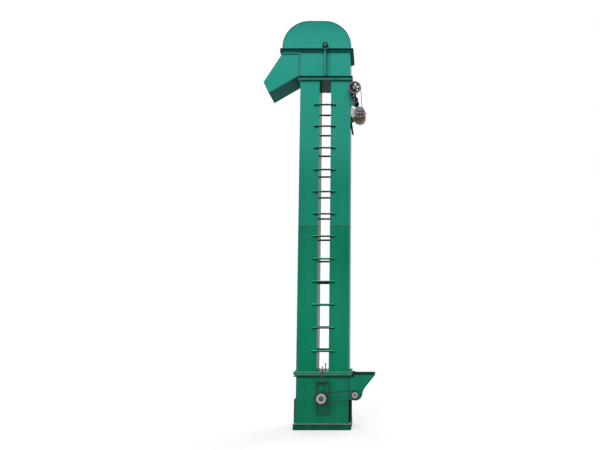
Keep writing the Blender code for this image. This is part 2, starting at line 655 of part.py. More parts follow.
def build_hood():
    """The round-cornered hood over the head drum and the top of the spout."""
    bottom = HEAD_TOP + SEAT_GAP
    hood = piece("hood", prism(hood_outline(0.0, bottom), (-HALF_DEPTH, HALF_DEPTH)), GREEN_PAINT)
    channel_rim(hood, HOOD_LEFT, HOOD_RIGHT, bottom, HEAD_TOP + HOOD_RIM_HEIGHT)
    cut(hood, prism(hood_outline(SHEET, bottom - RIM_PLATE), (SHEET - HALF_DEPTH, HALF_DEPTH - SHEET)))
    hole = bore(HEAD_SHAFT_RADIUS, SHAFT_HOLE_GAP, SHAFT_SIDES)
    cut(hood, rod(hole, SHAFT_SIDES, (-CASING_DEPTH, CASING_DEPTH), centre=(0.0, HEAD_AXIS_Z)))


def build_spout():
    """The discharge spout, open into the head and at its mouth, with a band round its top."""
    wall = -HALF_WIDTH - SEAT_GAP
    top = HEAD_TOP - SEAT_GAP
    shoulder = (HOOD_LEFT, SPOUT_TOP)
    root = (wall, SPOUT_HEEL[1])
    outline = [(wall, top), root, SPOUT_HEEL, SPOUT_LIP_LOWER, SPOUT_LIP_UPPER, shoulder, (HOOD_LEFT, top)]
    spout = piece("discharge_spout", prism(outline, (-HALF_DEPTH, HALF_DEPTH)), GREEN_PAINT)
    band_y = HALF_DEPTH + SPOUT_BAND_REACH
    join(spout, boxes((HOOD_LEFT - SPOUT_BAND_REACH, wall, -band_y, band_y, SPOUT_TOP, top)))
    run = (SPOUT_LIP_LOWER[0] - SPOUT_HEEL[0], SPOUT_LIP_LOWER[1] - SPOUT_HEEL[1])
    length = math.hypot(*run)
    ahead = (run[0] / length * SPOUT_LAP, run[1] / length * SPOUT_LAP)
    heel = inset_corner(root, SPOUT_HEEL, SPOUT_LIP_LOWER, SHEET)
    lower = inset_corner(SPOUT_HEEL, SPOUT_LIP_LOWER, SPOUT_LIP_UPPER, SHEET)
    upper = inset_corner(SPOUT_LIP_LOWER, SPOUT_LIP_UPPER, shoulder, SHEET)
    inner_shoulder = inset_corner(SPOUT_LIP_UPPER, shoulder, (HOOD_LEFT, top), SHEET)
    inside = [
        (wall + SHEET, top + SHEET),
        (wall + SHEET, heel[1]),
        heel,
        (lower[0] + ahead[0], lower[1] + ahead[1]),
        (upper[0] + ahead[0], upper[1] + ahead[1]),
        upper,
        inner_shoulder,
        (HOOD_LEFT + SHEET, top + SHEET),
    ]
    cut(spout, prism(inside, (SHEET - HALF_DEPTH, HALF_DEPTH - SHEET)))


def build_head_shaft():
    """The head shaft with its drum. The back end carries the large sprocket."""
    front = -HALF_DEPTH - POST_REACH - SHAFT_END
    back = CHAIN_Y + SPROCKET_WIDTH / 2 + SHAFT_END
    shaft = piece(
        "head_shaft", rod(HEAD_SHAFT_RADIUS, SHAFT_SIDES, (front, back)), STEEL, (0.0, 0.0, HEAD_AXIS_Z)
    )
    join(shaft, rod(DRUM_RADIUS, DRUM_SIDES, (-DRUM_LENGTH / 2, DRUM_LENGTH / 2)))


def bucket_outline(distance):
    """One bucket's outline, at a distance along the belt from the bottom of the leg that goes up."""
    straight = HEAD_AXIS_Z - TAIL_AXIS_Z
    radius = bore(DRUM_RADIUS, BELT_GAP, DRUM_SIDES) + BELT_THICKNESS
    turn = math.pi * radius
    half_loop, rest = divmod(distance, straight + turn)
    angle = max(0.0, rest - straight) / radius
    centre = HEAD_AXIS_Z if rest > straight else TAIL_AXIS_Z + rest
    if half_loop:
        angle += math.pi
        centre = HEAD_AXIS_Z + TAIL_AXIS_Z - centre
    out, ahead = (math.cos(angle), math.sin(angle)), (-math.sin(angle), math.cos(angle))
    half = BUCKET_HEIGHT / 2
    corners = (
        (-half, -BUCKET_SINK),
        (-BUCKET_BACK_RISE, BUCKET_FLOOR),
        (BUCKET_LIP_RISE, BUCKET_REACH),
        (half, -BUCKET_SINK),
    )
    outline = []
    for rise, reach in corners:
        x = (radius + reach) * out[0] + rise * ahead[0]
        z = (radius + reach) * out[1] + rise * ahead[1]
        outline.append((x, z + centre))
    return outline


def build_bucket_belt():
    """The endless belt with its buckets, standing still on the two drums."""
    tail, head = (0.0, TAIL_AXIS_Z), (0.0, HEAD_AXIS_Z)
    ends = (tail, DRUM_RADIUS, head, DRUM_RADIUS)
    belt = band("bucket_belt", RUBBER, *ends, BELT_THICKNESS, BELT_WIDTH, 0.0, DRUM_SIDES)
    radius = DRUM_RADIUS + BELT_THICKNESS
    length = 2 * (HEAD_AXIS_Z - TAIL_AXIS_Z) + math.tau * radius
    count = round(length / BUCKET_PITCH)
    buckets = bmesh.new()
    for step in range(count):
        outline = bucket_outline((step + 0.5) * length / count)
        extrude_outline(buckets, outline, -BUCKET_WIDTH / 2, BUCKET_WIDTH / 2)
    join(belt, buckets)


def build_head_drive():
    """The large sprocket on the head shaft, the countershaft that turns it, and the chain between them."""
    sprocket_y = (CHAIN_Y - SPROCKET_WIDTH / 2, CHAIN_Y + SPROCKET_WIDTH / 2)
    hub_y = (sprocket_y[1] - SPROCKET_HUB_LENGTH, sprocket_y[1])
    head_radius, small_radius = HEAD_PITCH_RADIUS - CHAIN_HALF_HEIGHT, SMALL_PITCH_RADIUS - CHAIN_HALF_HEIGHT
    sprocket = piece(
        "head_sprocket", rod(head_radius, PULLEY_SIDES, sprocket_y), STEEL, (0.0, 0.0, HEAD_AXIS_Z)
    )
    join(sprocket, rod(SPROCKET_HUB_RADIUS, SHAFT_SIDES, hub_y))
    cut(sprocket, rod(bore(HEAD_SHAFT_RADIUS, SEAT_GAP, SHAFT_SIDES), SHAFT_SIDES, (0.0, 2 * CHAIN_Y)))
    countershaft = pulley(
        "drive_pulley",
        STEEL,
        (DRIVE_X, 0.0, DRIVE_Z),
        DRIVE_GROOVE_RADIUS,
        DRIVE_PULLEY_WIDTH,
        DRIVE_BELT_WIDTH,
        DRIVE_BELT_Y,
        DRIVE_HUB_RADIUS,
    )
    holes = bmesh.new()
    for centre in circle((0.0, 0.0), WEB_HOLE_CIRCLE, WEB_HOLES):
        outline = circle(centre, WEB_HOLE_RADIUS, SHAFT_SIDES // 2)
        extrude_outline(holes, outline, DRIVE_BELT_Y - DRIVE_PULLEY_WIDTH, DRIVE_BELT_Y + DRIVE_PULLEY_WIDTH)
    cut(countershaft, holes)
    front = DRIVE_BELT_Y - DRIVE_PULLEY_WIDTH / 2 - SHAFT_END
    join(countershaft, rod(COUNTERSHAFT_RADIUS, SHAFT_SIDES, (front, sprocket_y[1] + SHAFT_END)))
    join(countershaft, rod(small_radius, PULLEY_SIDES, sprocket_y))
    join(countershaft, rod(SMALL_HUB_RADIUS, SHAFT_SIDES, hub_y))
    band(
        "drive_chain",
        STEEL,
        (0.0, HEAD_AXIS_Z),
        head_radius,
        (DRIVE_X, DRIVE_Z),
        small_radius,
        2 * CHAIN_HALF_HEIGHT,
        CHAIN_WIDTH,
        CHAIN_Y,
        PULLEY_SIDES,
    )


def build_countershaft_bracket():
    """A plate on the side of the right leg with two bearing blocks for the countershaft."""
    wall = HALF_WIDTH + SEAT_GAP
    face = wall + BRACKET_PLATE
    half_block = COUNTERSHAFT_BLOCK_DEPTH / 2
    half_y = COUNTERSHAFT_BLOCK_Y + half_block
    plate = boxes(
        (wall, face, -half_y, half_y, DRIVE_Z - COUNTERSHAFT_PLATE_HALF, DRIVE_Z + COUNTERSHAFT_PLATE_HALF)
    )
    bracket = piece("countershaft_bracket", plate, CAST_IRON)
    block = (face - BRACKET_PLATE / 2, DRIVE_X + COUNTERSHAFT_BLOCK_HALF)
    heights = (DRIVE_Z - COUNTERSHAFT_BLOCK_HALF, DRIVE_Z + COUNTERSHAFT_BLOCK_HALF)
    front, back = -COUNTERSHAFT_BLOCK_Y, COUNTERSHAFT_BLOCK_Y
    join(
        bracket,
        boxes(
            (*block, front - half_block, front + half_block, *heights),
            (*block, back - half_block, back + half_block, *heights),
        ),
    )
    hole = bore(COUNTERSHAFT_RADIUS, BEARING_GAP, SHAFT_SIDES)
    cut(bracket, rod(hole, SHAFT_SIDES, (-CASING_DEPTH, CASING_DEPTH), centre=(DRIVE_X, DRIVE_Z)))


def build_motor_drive():
    """The motor on its bracket beside the right leg, with its pulley and the belt up to the countershaft."""
    centre = (MOTOR_X, MOTOR_Z)
    back = MOTOR_FRONT + MOTOR_LENGTH
    body = (MOTOR_FRONT + MOTOR_SHIELD_LENGTH, back)
    motor = piece("motor", rod(MOTOR_RADIUS, DRUM_SIDES, body, centre=centre), MOTOR_GREY)
    join(motor, rod(MOTOR_SHIELD_RADIUS, DRUM_SIDES, (MOTOR_FRONT, body[0] + SHEET), centre=centre))
    foot_x = MOTOR_X - MOTOR_FOOT_HEIGHT
    foot_y = (MOTOR_FRONT + MOTOR_FOOT_START, MOTOR_FRONT + MOTOR_FOOT_START + MOTOR_FOOT_LENGTH)
    foot_z = (MOTOR_Z - MOTOR_FOOT_HALF, MOTOR_Z + MOTOR_FOOT_HALF)
    neck_z = (MOTOR_Z - MOTOR_FOOT_NECK, MOTOR_Z + MOTOR_FOOT_NECK)
    join(motor, boxes((foot_x, foot_x + MOTOR_FOOT_PLATE, *foot_y, *foot_z)))
    join(motor, boxes((foot_x + MOTOR_FOOT_PLATE / 2, MOTOR_X, *foot_y, *neck_z)))
    half_box = TERMINAL_BOX_WIDTH / 2
    box_y = (sum(foot_y) / 2 - half_box, sum(foot_y) / 2 + half_box)
    box_top = MOTOR_Z + MOTOR_RADIUS + TERMINAL_BOX_HEIGHT
    join(motor, boxes((MOTOR_X - half_box, MOTOR_X + half_box, *box_y, MOTOR_Z, box_top)))
    hole = bore(MOTOR_SHAFT_RADIUS, BEARING_GAP, SHAFT_SIDES)
    cut(motor, rod(hole, SHAFT_SIDES, (2 * MOTOR_FRONT, MOTOR_FRONT + MOTOR_SHAFT_DEPTH), centre=centre))

    rotor = pulley(
        "motor_pulley",
        STEEL,
        (MOTOR_X, 0.0, MOTOR_Z),
        MOTOR_GROOVE_RADIUS,
        DRIVE_PULLEY_WIDTH,
        DRIVE_BELT_WIDTH,
        DRIVE_BELT_Y,
        MOTOR_HUB_RADIUS,
    )
    front = DRIVE_BELT_Y - DRIVE_PULLEY_WIDTH / 2 - SHAFT_END
    inner_end = MOTOR_FRONT + MOTOR_SHAFT_DEPTH - SHEET
    join(rotor, rod(MOTOR_SHAFT_RADIUS, SHAFT_SIDES, (front, inner_end)))
    band(
        "drive_belt",
        RUBBER,
        (DRIVE_X, DRIVE_Z),
        DRIVE_GROOVE_RADIUS,
        centre,
        MOTOR_GROOVE_RADIUS,
        V_BELT_THICKNESS,
        DRIVE_BELT_WIDTH,
        DRIVE_BELT_Y,
        PULLEY_SIDES,
    )

    wall = HALF_WIDTH + SEAT_GAP
    face = wall + BRACKET_PLATE
    plate_y = (MOTOR_PLATE_START, MOTOR_PLATE_START + MOTOR_PLATE_LENGTH)
    bracket = piece(
        "motor_bracket", boxes((wall, face, *plate_y, MOTOR_PLATE_BOTTOM, MOTOR_PLATE_TOP)), GREEN_PAINT
    )
    gusset_y = (MOTOR_PLATE_START, MOTOR_PLATE_START + POST_PLATE)
    join(bracket, boxes((wall, wall + GUSSET_REACH, *gusset_y, GUSSET_BOTTOM, MOTOR_PLATE_TOP)))
    rail = (face - BRACKET_PLATE / 2, foot_x - SEAT_GAP, *foot_y)
    join(
        bracket,
        boxes((*rail, foot_z[0], foot_z[0] + RAIL_HEIGHT), (*rail, foot_z[1] - RAIL_HEIGHT, foot_z[1])),
    )
    holes = bmesh.new()
    hole_x = (face + wall + GUSSET_REACH) / 2
    for step in range(GUSSET_HOLES):
        hole_z = GUSSET_BOTTOM + (step + 0.5) * (MOTOR_PLATE_TOP - GUSSET_BOTTOM) / GUSSET_HOLES
        outline = circle((hole_x, hole_z), GUSSET_HOLE_RADIUS, SHAFT_SIDES // 2)
        extrude_outline(holes, outline, MOTOR_FRONT, 0.0)
    cut(bracket, holes)


def main():
    """Builds every sub-part from the floor up."""
    build_base_frame()
    build_boot()
    build_boot_covers()
    for label, side in (("front", -1), ("back", 1)):
        build_takeup(label, side)
    build_tail_shaft()
    build_hopper()
    build_feeder()
    band(
        "feeder_belt",
        RUBBER,
        (0.0, TAIL_AXIS_Z),
        TAIL_GROOVE_RADIUS,
        (FEEDER_X, FEEDER_Z),
        FEEDER_GROOVE_RADIUS,
        V_BELT_THICKNESS,
        FEEDER_BELT_WIDTH,
        FEEDER_BELT_Y,
        PULLEY_SIDES,
    )
    build_leg_flanges()
    build_legs()
    build_rungs()
    build_bucket_belt()
    build_head_casing()
    build_head_bearings()
    build_head_shaft()
    build_hood()
    build_spout()
    build_head_drive()
    build_countershaft_bracket()
    build_motor_drive()


main()
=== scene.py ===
"""Looks of a two-leg bucket elevator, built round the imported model.

Metres, +Z up. +X is the side of the inlet hopper and the motor, +Y is the back. Every class takes its
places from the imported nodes, so its pieces sit on what carries them.
"""

from __future__ import annotations

import json
import logging
import math
from collections.abc import Iterable, Sequence
from dataclasses import dataclass
from enum import Enum
from typing import Any

import bmesh
import bpy
from bmesh.types import BMEdge, BMesh, BMFace, BMVert
from bpy.types import Material, Node, NodeSocket, NodeTree
from mathutils import Matrix, Vector

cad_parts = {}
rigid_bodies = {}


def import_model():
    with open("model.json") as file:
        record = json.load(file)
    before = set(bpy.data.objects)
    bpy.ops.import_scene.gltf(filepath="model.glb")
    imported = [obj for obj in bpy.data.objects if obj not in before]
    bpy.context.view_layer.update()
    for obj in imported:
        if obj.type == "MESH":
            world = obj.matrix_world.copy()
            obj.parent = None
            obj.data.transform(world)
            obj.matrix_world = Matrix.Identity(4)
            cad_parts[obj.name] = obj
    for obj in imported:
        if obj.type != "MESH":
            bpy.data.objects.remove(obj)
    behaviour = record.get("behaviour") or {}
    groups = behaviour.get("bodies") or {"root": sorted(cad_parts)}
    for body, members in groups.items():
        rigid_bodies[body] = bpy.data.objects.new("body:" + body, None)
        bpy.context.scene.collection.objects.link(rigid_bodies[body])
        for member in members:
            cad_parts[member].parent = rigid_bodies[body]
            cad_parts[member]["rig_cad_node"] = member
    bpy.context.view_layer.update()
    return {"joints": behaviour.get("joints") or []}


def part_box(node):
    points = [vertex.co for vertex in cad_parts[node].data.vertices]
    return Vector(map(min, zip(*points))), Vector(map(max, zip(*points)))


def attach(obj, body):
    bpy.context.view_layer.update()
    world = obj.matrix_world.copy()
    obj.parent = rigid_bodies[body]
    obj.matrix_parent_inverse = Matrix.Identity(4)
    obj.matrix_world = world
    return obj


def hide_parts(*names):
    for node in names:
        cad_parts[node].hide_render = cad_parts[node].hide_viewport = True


LOG = logging.getLogger("bucket_elevator")
SMOOTH_ANGLE = math.radians(35)
SKIN = 0.0004
RIM_REACH = 0.032
RIM_PLATE = 0.005
PLATE_EDGE = 0.0005
RUNNING_GAP = 0.0012
DRUM_RADIUS = 0.130
DRUM_HALF = 0.160
BELT_THICKNESS = 0.008
BELT_SEAT = 0.0006
BELT_STEPS = 40
UP = (0.0, 0.0, 1.0)
DOWN = (0.0, 0.0, -1.0)
GREY = (0.5, 0.5, 0.5, 1.0)
WHITE = (1.0, 1.0, 1.0, 1.0)
Pair = tuple[float, float]
Triple = tuple[float, float, float]
Outline = Sequence[Pair]


class Body(Enum):
    """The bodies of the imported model."""

    ROOT = "root"
    HEAD = "head_rotor"
    COUNTERSHAFT = "countershaft"
    MOTOR = "motor_rotor"
    TAIL = "tail_rotor"
    FEEDER = "feeder"


class Joint(Enum):
    """The joints, whose axes run along Y."""

    HEAD = "head_spin"
    COUNTERSHAFT = "countershaft_spin"
    MOTOR = "motor_spin"
    TAIL = "tail_spin"
    FEEDER = "feeder_spin"


class Slot(Enum):
    """The record's material slots."""

    GREEN = "green_paint"
    CAST = "cast_iron"
    STEEL = "bare_steel"
    PULLEY = "pulley_steel"
    CHAIN = "chain_steel"
    BELT = "belt_rubber"
    BELTING = "conveyor_belting"
    MOTOR = "motor_paint"


class Side(Enum):
    """The two broad faces of the casing, as the sign of Y."""

    FRONT = -1
    BACK = 1

    @property
    def label(self) -> str:
        """The side's word in the nodes' names."""
        return self.name.lower()

    @property
    def outward(self) -> Triple:
        """The direction out of the face."""
        return (0.0, float(self.value), 0.0)

    def ends(self, box: tuple[Vector, Vector]) -> Pair:
        """The y of a box's end at the casing, and of its outer end."""
        return (box[1].y, box[0].y) if self is Side.FRONT else (box[0].y, box[1].y)


@dataclass(frozen=True)
class Tone:
    """A colour as a screen shows it, from 0 to 255."""

    red: int
    green: int
    blue: int

    def linear(self) -> tuple[float, ...]:
        """The colour as Blender's shaders take it.

        Returns:
            Red, green, blue and alpha in linear light.
        """
        shares = [channel / 255 for channel in (self.red, self.green, self.blue)]
        return (*(s / 12.92 if s <= 0.04045 else ((s + 0.055) / 1.055) ** 2.4 for s in shares), 1.0)


class Graph:
    """A node tree with short calls to add nodes and join them."""

    def __init__(self, tree: NodeTree) -> None:
        """Wraps the tree of a material, a world or a group."""
        self.tree = tree

    def set(self, node: Node, inputs: dict[Any, Any]) -> None:
        """Sets a node's inputs.

        Args:
            node: The node.
            inputs: A value, or a socket to join, for each input by name or number.
        """
        for key, value in inputs.items():
            if isinstance(value, NodeSocket):
                self.tree.links.new(value, node.inputs[key])
            else:
                node.inputs[key].default_value = value

    def node(self, kind: str, inputs: dict[Any, Any] | None = None, **settings: Any) -> Node:
        """Adds a node.

        Args:
            kind: The node's type name.
            inputs: A value, or a socket to join, for each input by name or number.
            settings: Values for the node's own properties.

        Returns:
            The new node.
        """
        made = self.tree.nodes.new(kind)
        for name, value in settings.items():
            setattr(made, name, value)
        self.set(made, inputs or {})
        return made

    def math(self, operation: str, first: Any, second: Any = 0.0, clamp: bool = False) -> NodeSocket:
        """One arithmetic step on two numbers or sockets, kept from 0 to 1 by clamp."""
        step = self.node("ShaderNodeMath", {0: first, 1: second}, operation=operation, use_clamp=clamp)
        return step.outputs["Value"]

    def blend(self, share: Any, first: Any, second: Any) -> NodeSocket:
        """A mix of two colours with this share of the second one."""
        return self.node("ShaderNodeMix", {0: share, 6: first, 7: second}, data_type="RGBA").outputs[2]

    def between(
        self, value: Any, low: float, high: float, start: float = 0.0, end: float = 1.0
    ) -> NodeSocket:
        """A value mapped from low..high to start..end, and kept inside it."""
        inputs = {"Value": value, "From Min": low, "From Max": high, "To Min": start, "To Max": end}
        return self.node("ShaderNodeMapRange", inputs).outputs["Result"]

    def place(self) -> NodeSocket:
        """The Object coordinates."""
        return self.node("ShaderNodeTexCoord").outputs["Object"]

    def noise(self, place: NodeSocket, scale: Any, detail: float) -> NodeSocket:
        """Noise from 0 to 1 at a place."""
        inputs = {"Vector": place, "Scale": scale, "Detail": detail}
        return self.node("ShaderNodeTexNoise", inputs).outputs[0]

    def part(self, vector: NodeSocket, letter: str) -> NodeSocket:
        """The X, Y or Z of a vector."""
        return self.node("ShaderNodeSeparateXYZ", {"Vector": vector}).outputs[letter]

    def normal(self) -> NodeSocket:
        """The surface's normal."""
        return self.node("ShaderNodeNewGeometry").outputs["Normal"]


class EffectLibrary:
    """The shader effects that several finishes share, each a node group built once."""

    def __init__(self) -> None:
        """Builds the groups."""
        self.trees: dict[str, NodeTree] = {}
        self._weathering()
        self._relief()
        self._edge_wear()
        self._turning_marks()
        self._underside()

    def _open(self, name: str, inputs: dict[str, Any], outputs: Sequence[str]) -> tuple[Graph, Any, Node]:
        """Starts a group. A socket holds a colour where its default is one or its name is Color.

        Args:
            name: The group's name.
            inputs: Each input's default by name.
            outputs: The outputs' names.

        Returns:
            The group's graph, its given sockets and its output node.
        """
        tree = self.trees[name] = bpy.data.node_groups.new(name, "ShaderNodeTree")
        for label, default in inputs.items():
            kind = "NodeSocketColor" if isinstance(default, tuple) else "NodeSocketFloat"
            tree.interface.new_socket(label, in_out="INPUT", socket_type=kind).default_value = default
        for label in outputs:
            kind = "NodeSocketColor" if label == "Color" else "NodeSocketFloat"
            tree.interface.new_socket(label, in_out="OUTPUT", socket_type=kind)
        graph = Graph(tree)
        return graph, graph.node("NodeGroupInput").outputs, graph.node("NodeGroupOutput")

    def _weathering(self) -> None:
        """Soft patches of dust, and soft vertical bands of painted sheen, over a colour."""
        inputs = {"Color": GREY, "Dust Color": GREY, "Patches": 0.1, "Streaks": 0.1, "Scale": 2.0}
        graph, given, out = self._open("weathering", inputs, ("Color", "Mask"))
        place = graph.place()
        patches = graph.between(graph.noise(place, given["Scale"], 5.0), 0.35, 0.75)
        # Soft vertical bands: painted reflection, in the same colour as the dust.
        drawn = graph.node("ShaderNodeMapping", {"Vector": place, "Scale": (7.0, 7.0, 0.35)})
        streaks = graph.between(graph.noise(drawn.outputs["Vector"], 1.0, 3.0), 0.42, 0.66)
        patches = graph.math("MULTIPLY", patches, given["Patches"])
        streaks = graph.math("MULTIPLY", streaks, given["Streaks"])
        amount = graph.math("ADD", patches, streaks, clamp=True)
        graph.set(out, {"Color": graph.blend(amount, given["Color"], given["Dust Color"]), "Mask": amount})

    def _relief(self) -> None:
        """Broad waves of rolled sheet under the fine peel of sprayed paint."""
        inputs = {"Wave Scale": 1.6, "Waves": 1.0, "Peel Scale": 350.0, "Peel": 0.02}
        graph, given, out = self._open("relief", inputs, ("Height",))
        place = graph.place()
        waves = graph.math("MULTIPLY", graph.noise(place, given["Wave Scale"], 1.0), given["Waves"])
        peel = graph.math("MULTIPLY", graph.noise(place, given["Peel Scale"], 2.0), given["Peel"])
        graph.set(out, {"Height": graph.math("ADD", waves, peel)})

    def _edge_wear(self) -> None:
        """Where edges are worn, and where their lighter tone is painted highlight: the mask is high near
        sharp edges and broken up by noise.
        """
        graph, given, out = self._open("edge_wear", {"Width": 0.003, "Breakup": 60.0}, ("Mask",))
        softened = graph.node("ShaderNodeBevel", {"Radius": given["Width"]}, samples=4).outputs["Normal"]
        normals = {0: softened, 1: graph.normal()}
        match = graph.node("ShaderNodeVectorMath", normals, operation="DOT_PRODUCT")
        edge = graph.between(match.outputs["Value"], 0.995, 0.80)
        broken = graph.between(graph.noise(graph.place(), given["Breakup"], 3.0), 0.3, 0.65, 0.25)
        graph.set(out, {"Mask": graph.math("MULTIPLY", edge, broken)})

    def _turning_marks(self) -> None:
        """Fine turning marks in rings about an axis along Y."""
        inputs = {"Centre X": 0.0, "Centre Z": 0.0, "Density": 900.0}
        graph, given, out = self._open("turning_marks", inputs, ("Height",))
        place = graph.place()
        across = graph.math("SUBTRACT", graph.part(place, "X"), given["Centre X"])
        up = graph.math("SUBTRACT", graph.part(place, "Z"), given["Centre Z"])
        square = graph.math("ADD", graph.math("POWER", across, 2.0), graph.math("POWER", up, 2.0))
        radius = graph.math("MULTIPLY", graph.math("SQRT", square), given["Density"])
        along_y = graph.math("MULTIPLY", graph.part(place, "Y"), given["Density"])
        line = graph.node("ShaderNodeCombineXYZ", {"X": radius, "Y": along_y})
        graph.set(out, {"Height": graph.noise(line.outputs["Vector"], 1.0, 2.0)})

    def _underside(self) -> None:
        """Which faces look down, where the paint gets painted shading."""
        graph, _, out = self._open("underside", {}, ("Mask",))
        graph.set(out, {"Mask": graph.between(graph.part(graph.normal(), "Z"), -0.2, -0.6)})


class Shader(Graph):
    """A material's graph, with the shared effects and the joints' places at hand."""

    def __init__(self, name: str, effects: EffectLibrary, axes: dict[Joint, Vector]) -> None:
        """Starts a material.

        Args:
            name: The material's name.
            effects: The shared effects.
            axes: The joints' places.
        """
        self.material = bpy.data.materials.new(name)
        self.material.use_nodes = True
        self.effects, self.axes = effects, axes
        super().__init__(self.material.node_tree)

    def use(self, effect: str, inputs: dict[str, Any] | None = None) -> Any:
        """The output sockets of a shared effect, placed in the material."""
        return self.node("ShaderNodeGroup", inputs, node_tree=self.effects.trees[effect]).outputs

    def weathered(self, colour: Any, dust: Tone, **amounts: float) -> Any:
        """A colour under dust and painted sheen.

        Args:
            colour: The colour or its socket.
            dust: The tone of the dust patches and of the painted sheen bands.
            amounts: The effect's Patches, Sheen and Scale, where they aren't its defaults.

        Returns:
            The effect's Color and Mask.
        """
        named = {name.title(): amount for name, amount in amounts.items()}
        return self.use("weathering", {"Color": colour, "Dust Color": dust.linear(), **named})

    def surface(self, inputs: dict[str, Any], height: NodeSocket | None = None, depth: float = 0.0) -> None:
        """Sets the Principled BSDF's inputs.

        Args:
            inputs: A value, or a socket to join, for each input.
            height: The height of its bump, from 0 to 1.
            depth: How high a height of 1 stands, in metres.
        """
        if height is not None:
            bump = self.node("ShaderNodeBump", {"Strength": 1.0, "Distance": depth, "Height": height})
            inputs["Normal"] = bump.outputs["Normal"]
        self.set(self.tree.nodes["Principled BSDF"], inputs)


@dataclass(frozen=True)
class Recipe:
    """How a material is made."""

    name: str

    def fill(self, made: Shader) -> None:
        """Makes the nodes of a material."""
        raise NotImplementedError


@dataclass(frozen=True)
class GlossPaint(Recipe):
    """Sprayed enamel on sheet steel, whose tone changes with the height above the floor, with painted
    reflection and shade in that change, and painted shading on faces that look down.
    """

    tones: tuple[tuple[float, Tone], ...]
    worn: Tone
    dust: Tone
    rough: Pair = (0.18, 0.30)
    coat: float = 0.40
    coat_ior: float = 1.15
    coat_roughness: float = 0.12
    shade: Tone = Tone(66, 170, 170)
    shade_share: float = 0.5
    shaded_coat: float = 0.6
    dust_share: float = 0.14
    edge_width: float = 0.004
    edge_share: float = 0.22
    wave_depth: float = 0.004
    top: float = 5.5

    def fill(self, made: Shader) -> None:
        """Makes the material's nodes.

        Args:
            made: The material's graph.
        """
        place = made.place()
        ramp = made.node("ShaderNodeValToRGB", {0: made.math("DIVIDE", made.part(place, "Z"), self.top)})
        stops = ramp.color_ramp.elements
        while len(stops) < len(self.tones):
            stops.new(0.5)
        for stop, (level, tone) in zip(stops, self.tones):
            stop.position = level / self.top
            stop.color = tone.linear()
        # This share sets the dust patches and also the painted sheen: soft vertical bands of painted
        # reflection.
        share = self.dust_share
        dust_and_sheen_out = made.weathered(ramp.outputs["Color"], self.dust, patches=share, streaks=share)
        # Lighter edges: wear, and painted highlight along them.
        edge = made.use("edge_wear", {"Width": self.edge_width})["Mask"]
        wear_and_highlight = made.math("MULTIPLY", edge, self.edge_share)
        # Painted shading on faces that look down: a set tone mixed into their colour, and less coat.
        under = made.use("underside")["Mask"]
        painted_shading_amount = made.math("MULTIPLY", under, self.shade_share)
        colour = made.blend(wear_and_highlight, dust_and_sheen_out["Color"], self.worn.linear())
        inputs = {
            "Base Color": made.blend(painted_shading_amount, colour, self.shade.linear()),
            "Coat Weight": made.between(under, 0.0, 1.0, self.coat, self.coat * self.shaded_coat),
            "Coat IOR": self.coat_ior,
            "Coat Roughness": self.coat_roughness,
            "Roughness": made.between(made.noise(place, 3.0, 4.0), 0.3, 0.7, *self.rough),
            "Specular IOR Level": 0.0,
        }
        made.surface(inputs, made.use("relief")["Height"], self.wave_depth)


@dataclass(frozen=True)
class TurnedMetal(Recipe):
    """Machined steel with rings about a joint's axis, and grime between them."""

    tone: Tone
    grime: Tone
    joint: Joint
    metallic: float = 0.9
    rough: Pair = (0.30, 0.48)
    grime_share: float = 0.35
    grime_scale: float = 22.0
    ring_depth: float = 0.0003

    def fill(self, made: Shader) -> None:
        """Makes the material's nodes.

        Args:
            made: The material's graph.
        """
        amounts = {"patches": self.grime_share, "streaks": 0.0, "scale": self.grime_scale}
        dust_and_sheen_out = made.weathered(self.tone.linear(), self.grime, **amounts)
        axis = made.axes[self.joint]
        rings = made.use("turning_marks", {"Centre X": axis.x, "Centre Z": axis.z})["Height"]
        rough = made.between(rings, 0.3, 0.7, *self.rough)
        inputs = {"Base Color": dust_and_sheen_out["Color"], "Metallic": self.metallic, "Roughness": rough}
        made.surface(inputs, rings, self.ring_depth)


@dataclass(frozen=True)
class CastPaint(Recipe):
    """Paint over a sand casting or a small plate: a coarse grain, with worn edges whose lighter tone is also
    painted highlight.
    """

    tone: Tone
    worn: Tone
    roughness: float = 0.5
    gloss: float = 0.05
    metallic: float = 0.0
    dust_share: float = 0.2
    dust_scale: float = 14.0
    dusty_roughness: float = 0.15
    edge_width: float = 0.002
    edge_breakup: float = 120.0
    edge_share: float = 0.5
    grain: float = 0.0008
    grain_scale: float = 260.0

    def fill(self, made: Shader) -> None:
        """Makes the material's nodes.

        Args:
            made: The material's graph.
        """
        # A little painted sheen: faint vertical bands of painted reflection.
        amounts = {"patches": self.dust_share, "streaks": 0.05, "scale": self.dust_scale}
        dust_and_sheen_out = made.weathered(self.tone.linear(), self.worn, **amounts)
        # Edges in the worn tone: wear, and painted highlight along them.
        wear_and_highlight = made.use("edge_wear", {"Width": self.edge_width, "Breakup": self.edge_breakup})["Mask"]
        dull = self.roughness + self.dusty_roughness
        inputs = {
            "Base Color": made.blend(
                made.math("MULTIPLY", wear_and_highlight, self.edge_share), dust_and_sheen_out["Color"], self.worn.linear()
            ),
            "Roughness": made.between(dust_and_sheen_out["Mask"], 0.0, 0.3, self.roughness, dull),
            "Metallic": self.metallic,
            "Specular IOR Level": self.gloss,
        }
        relief = made.use("relief", {"Waves": 0.0, "Peel Scale": self.grain_scale, "Peel": 1.0})
        made.surface(inputs, relief["Height"], self.grain)


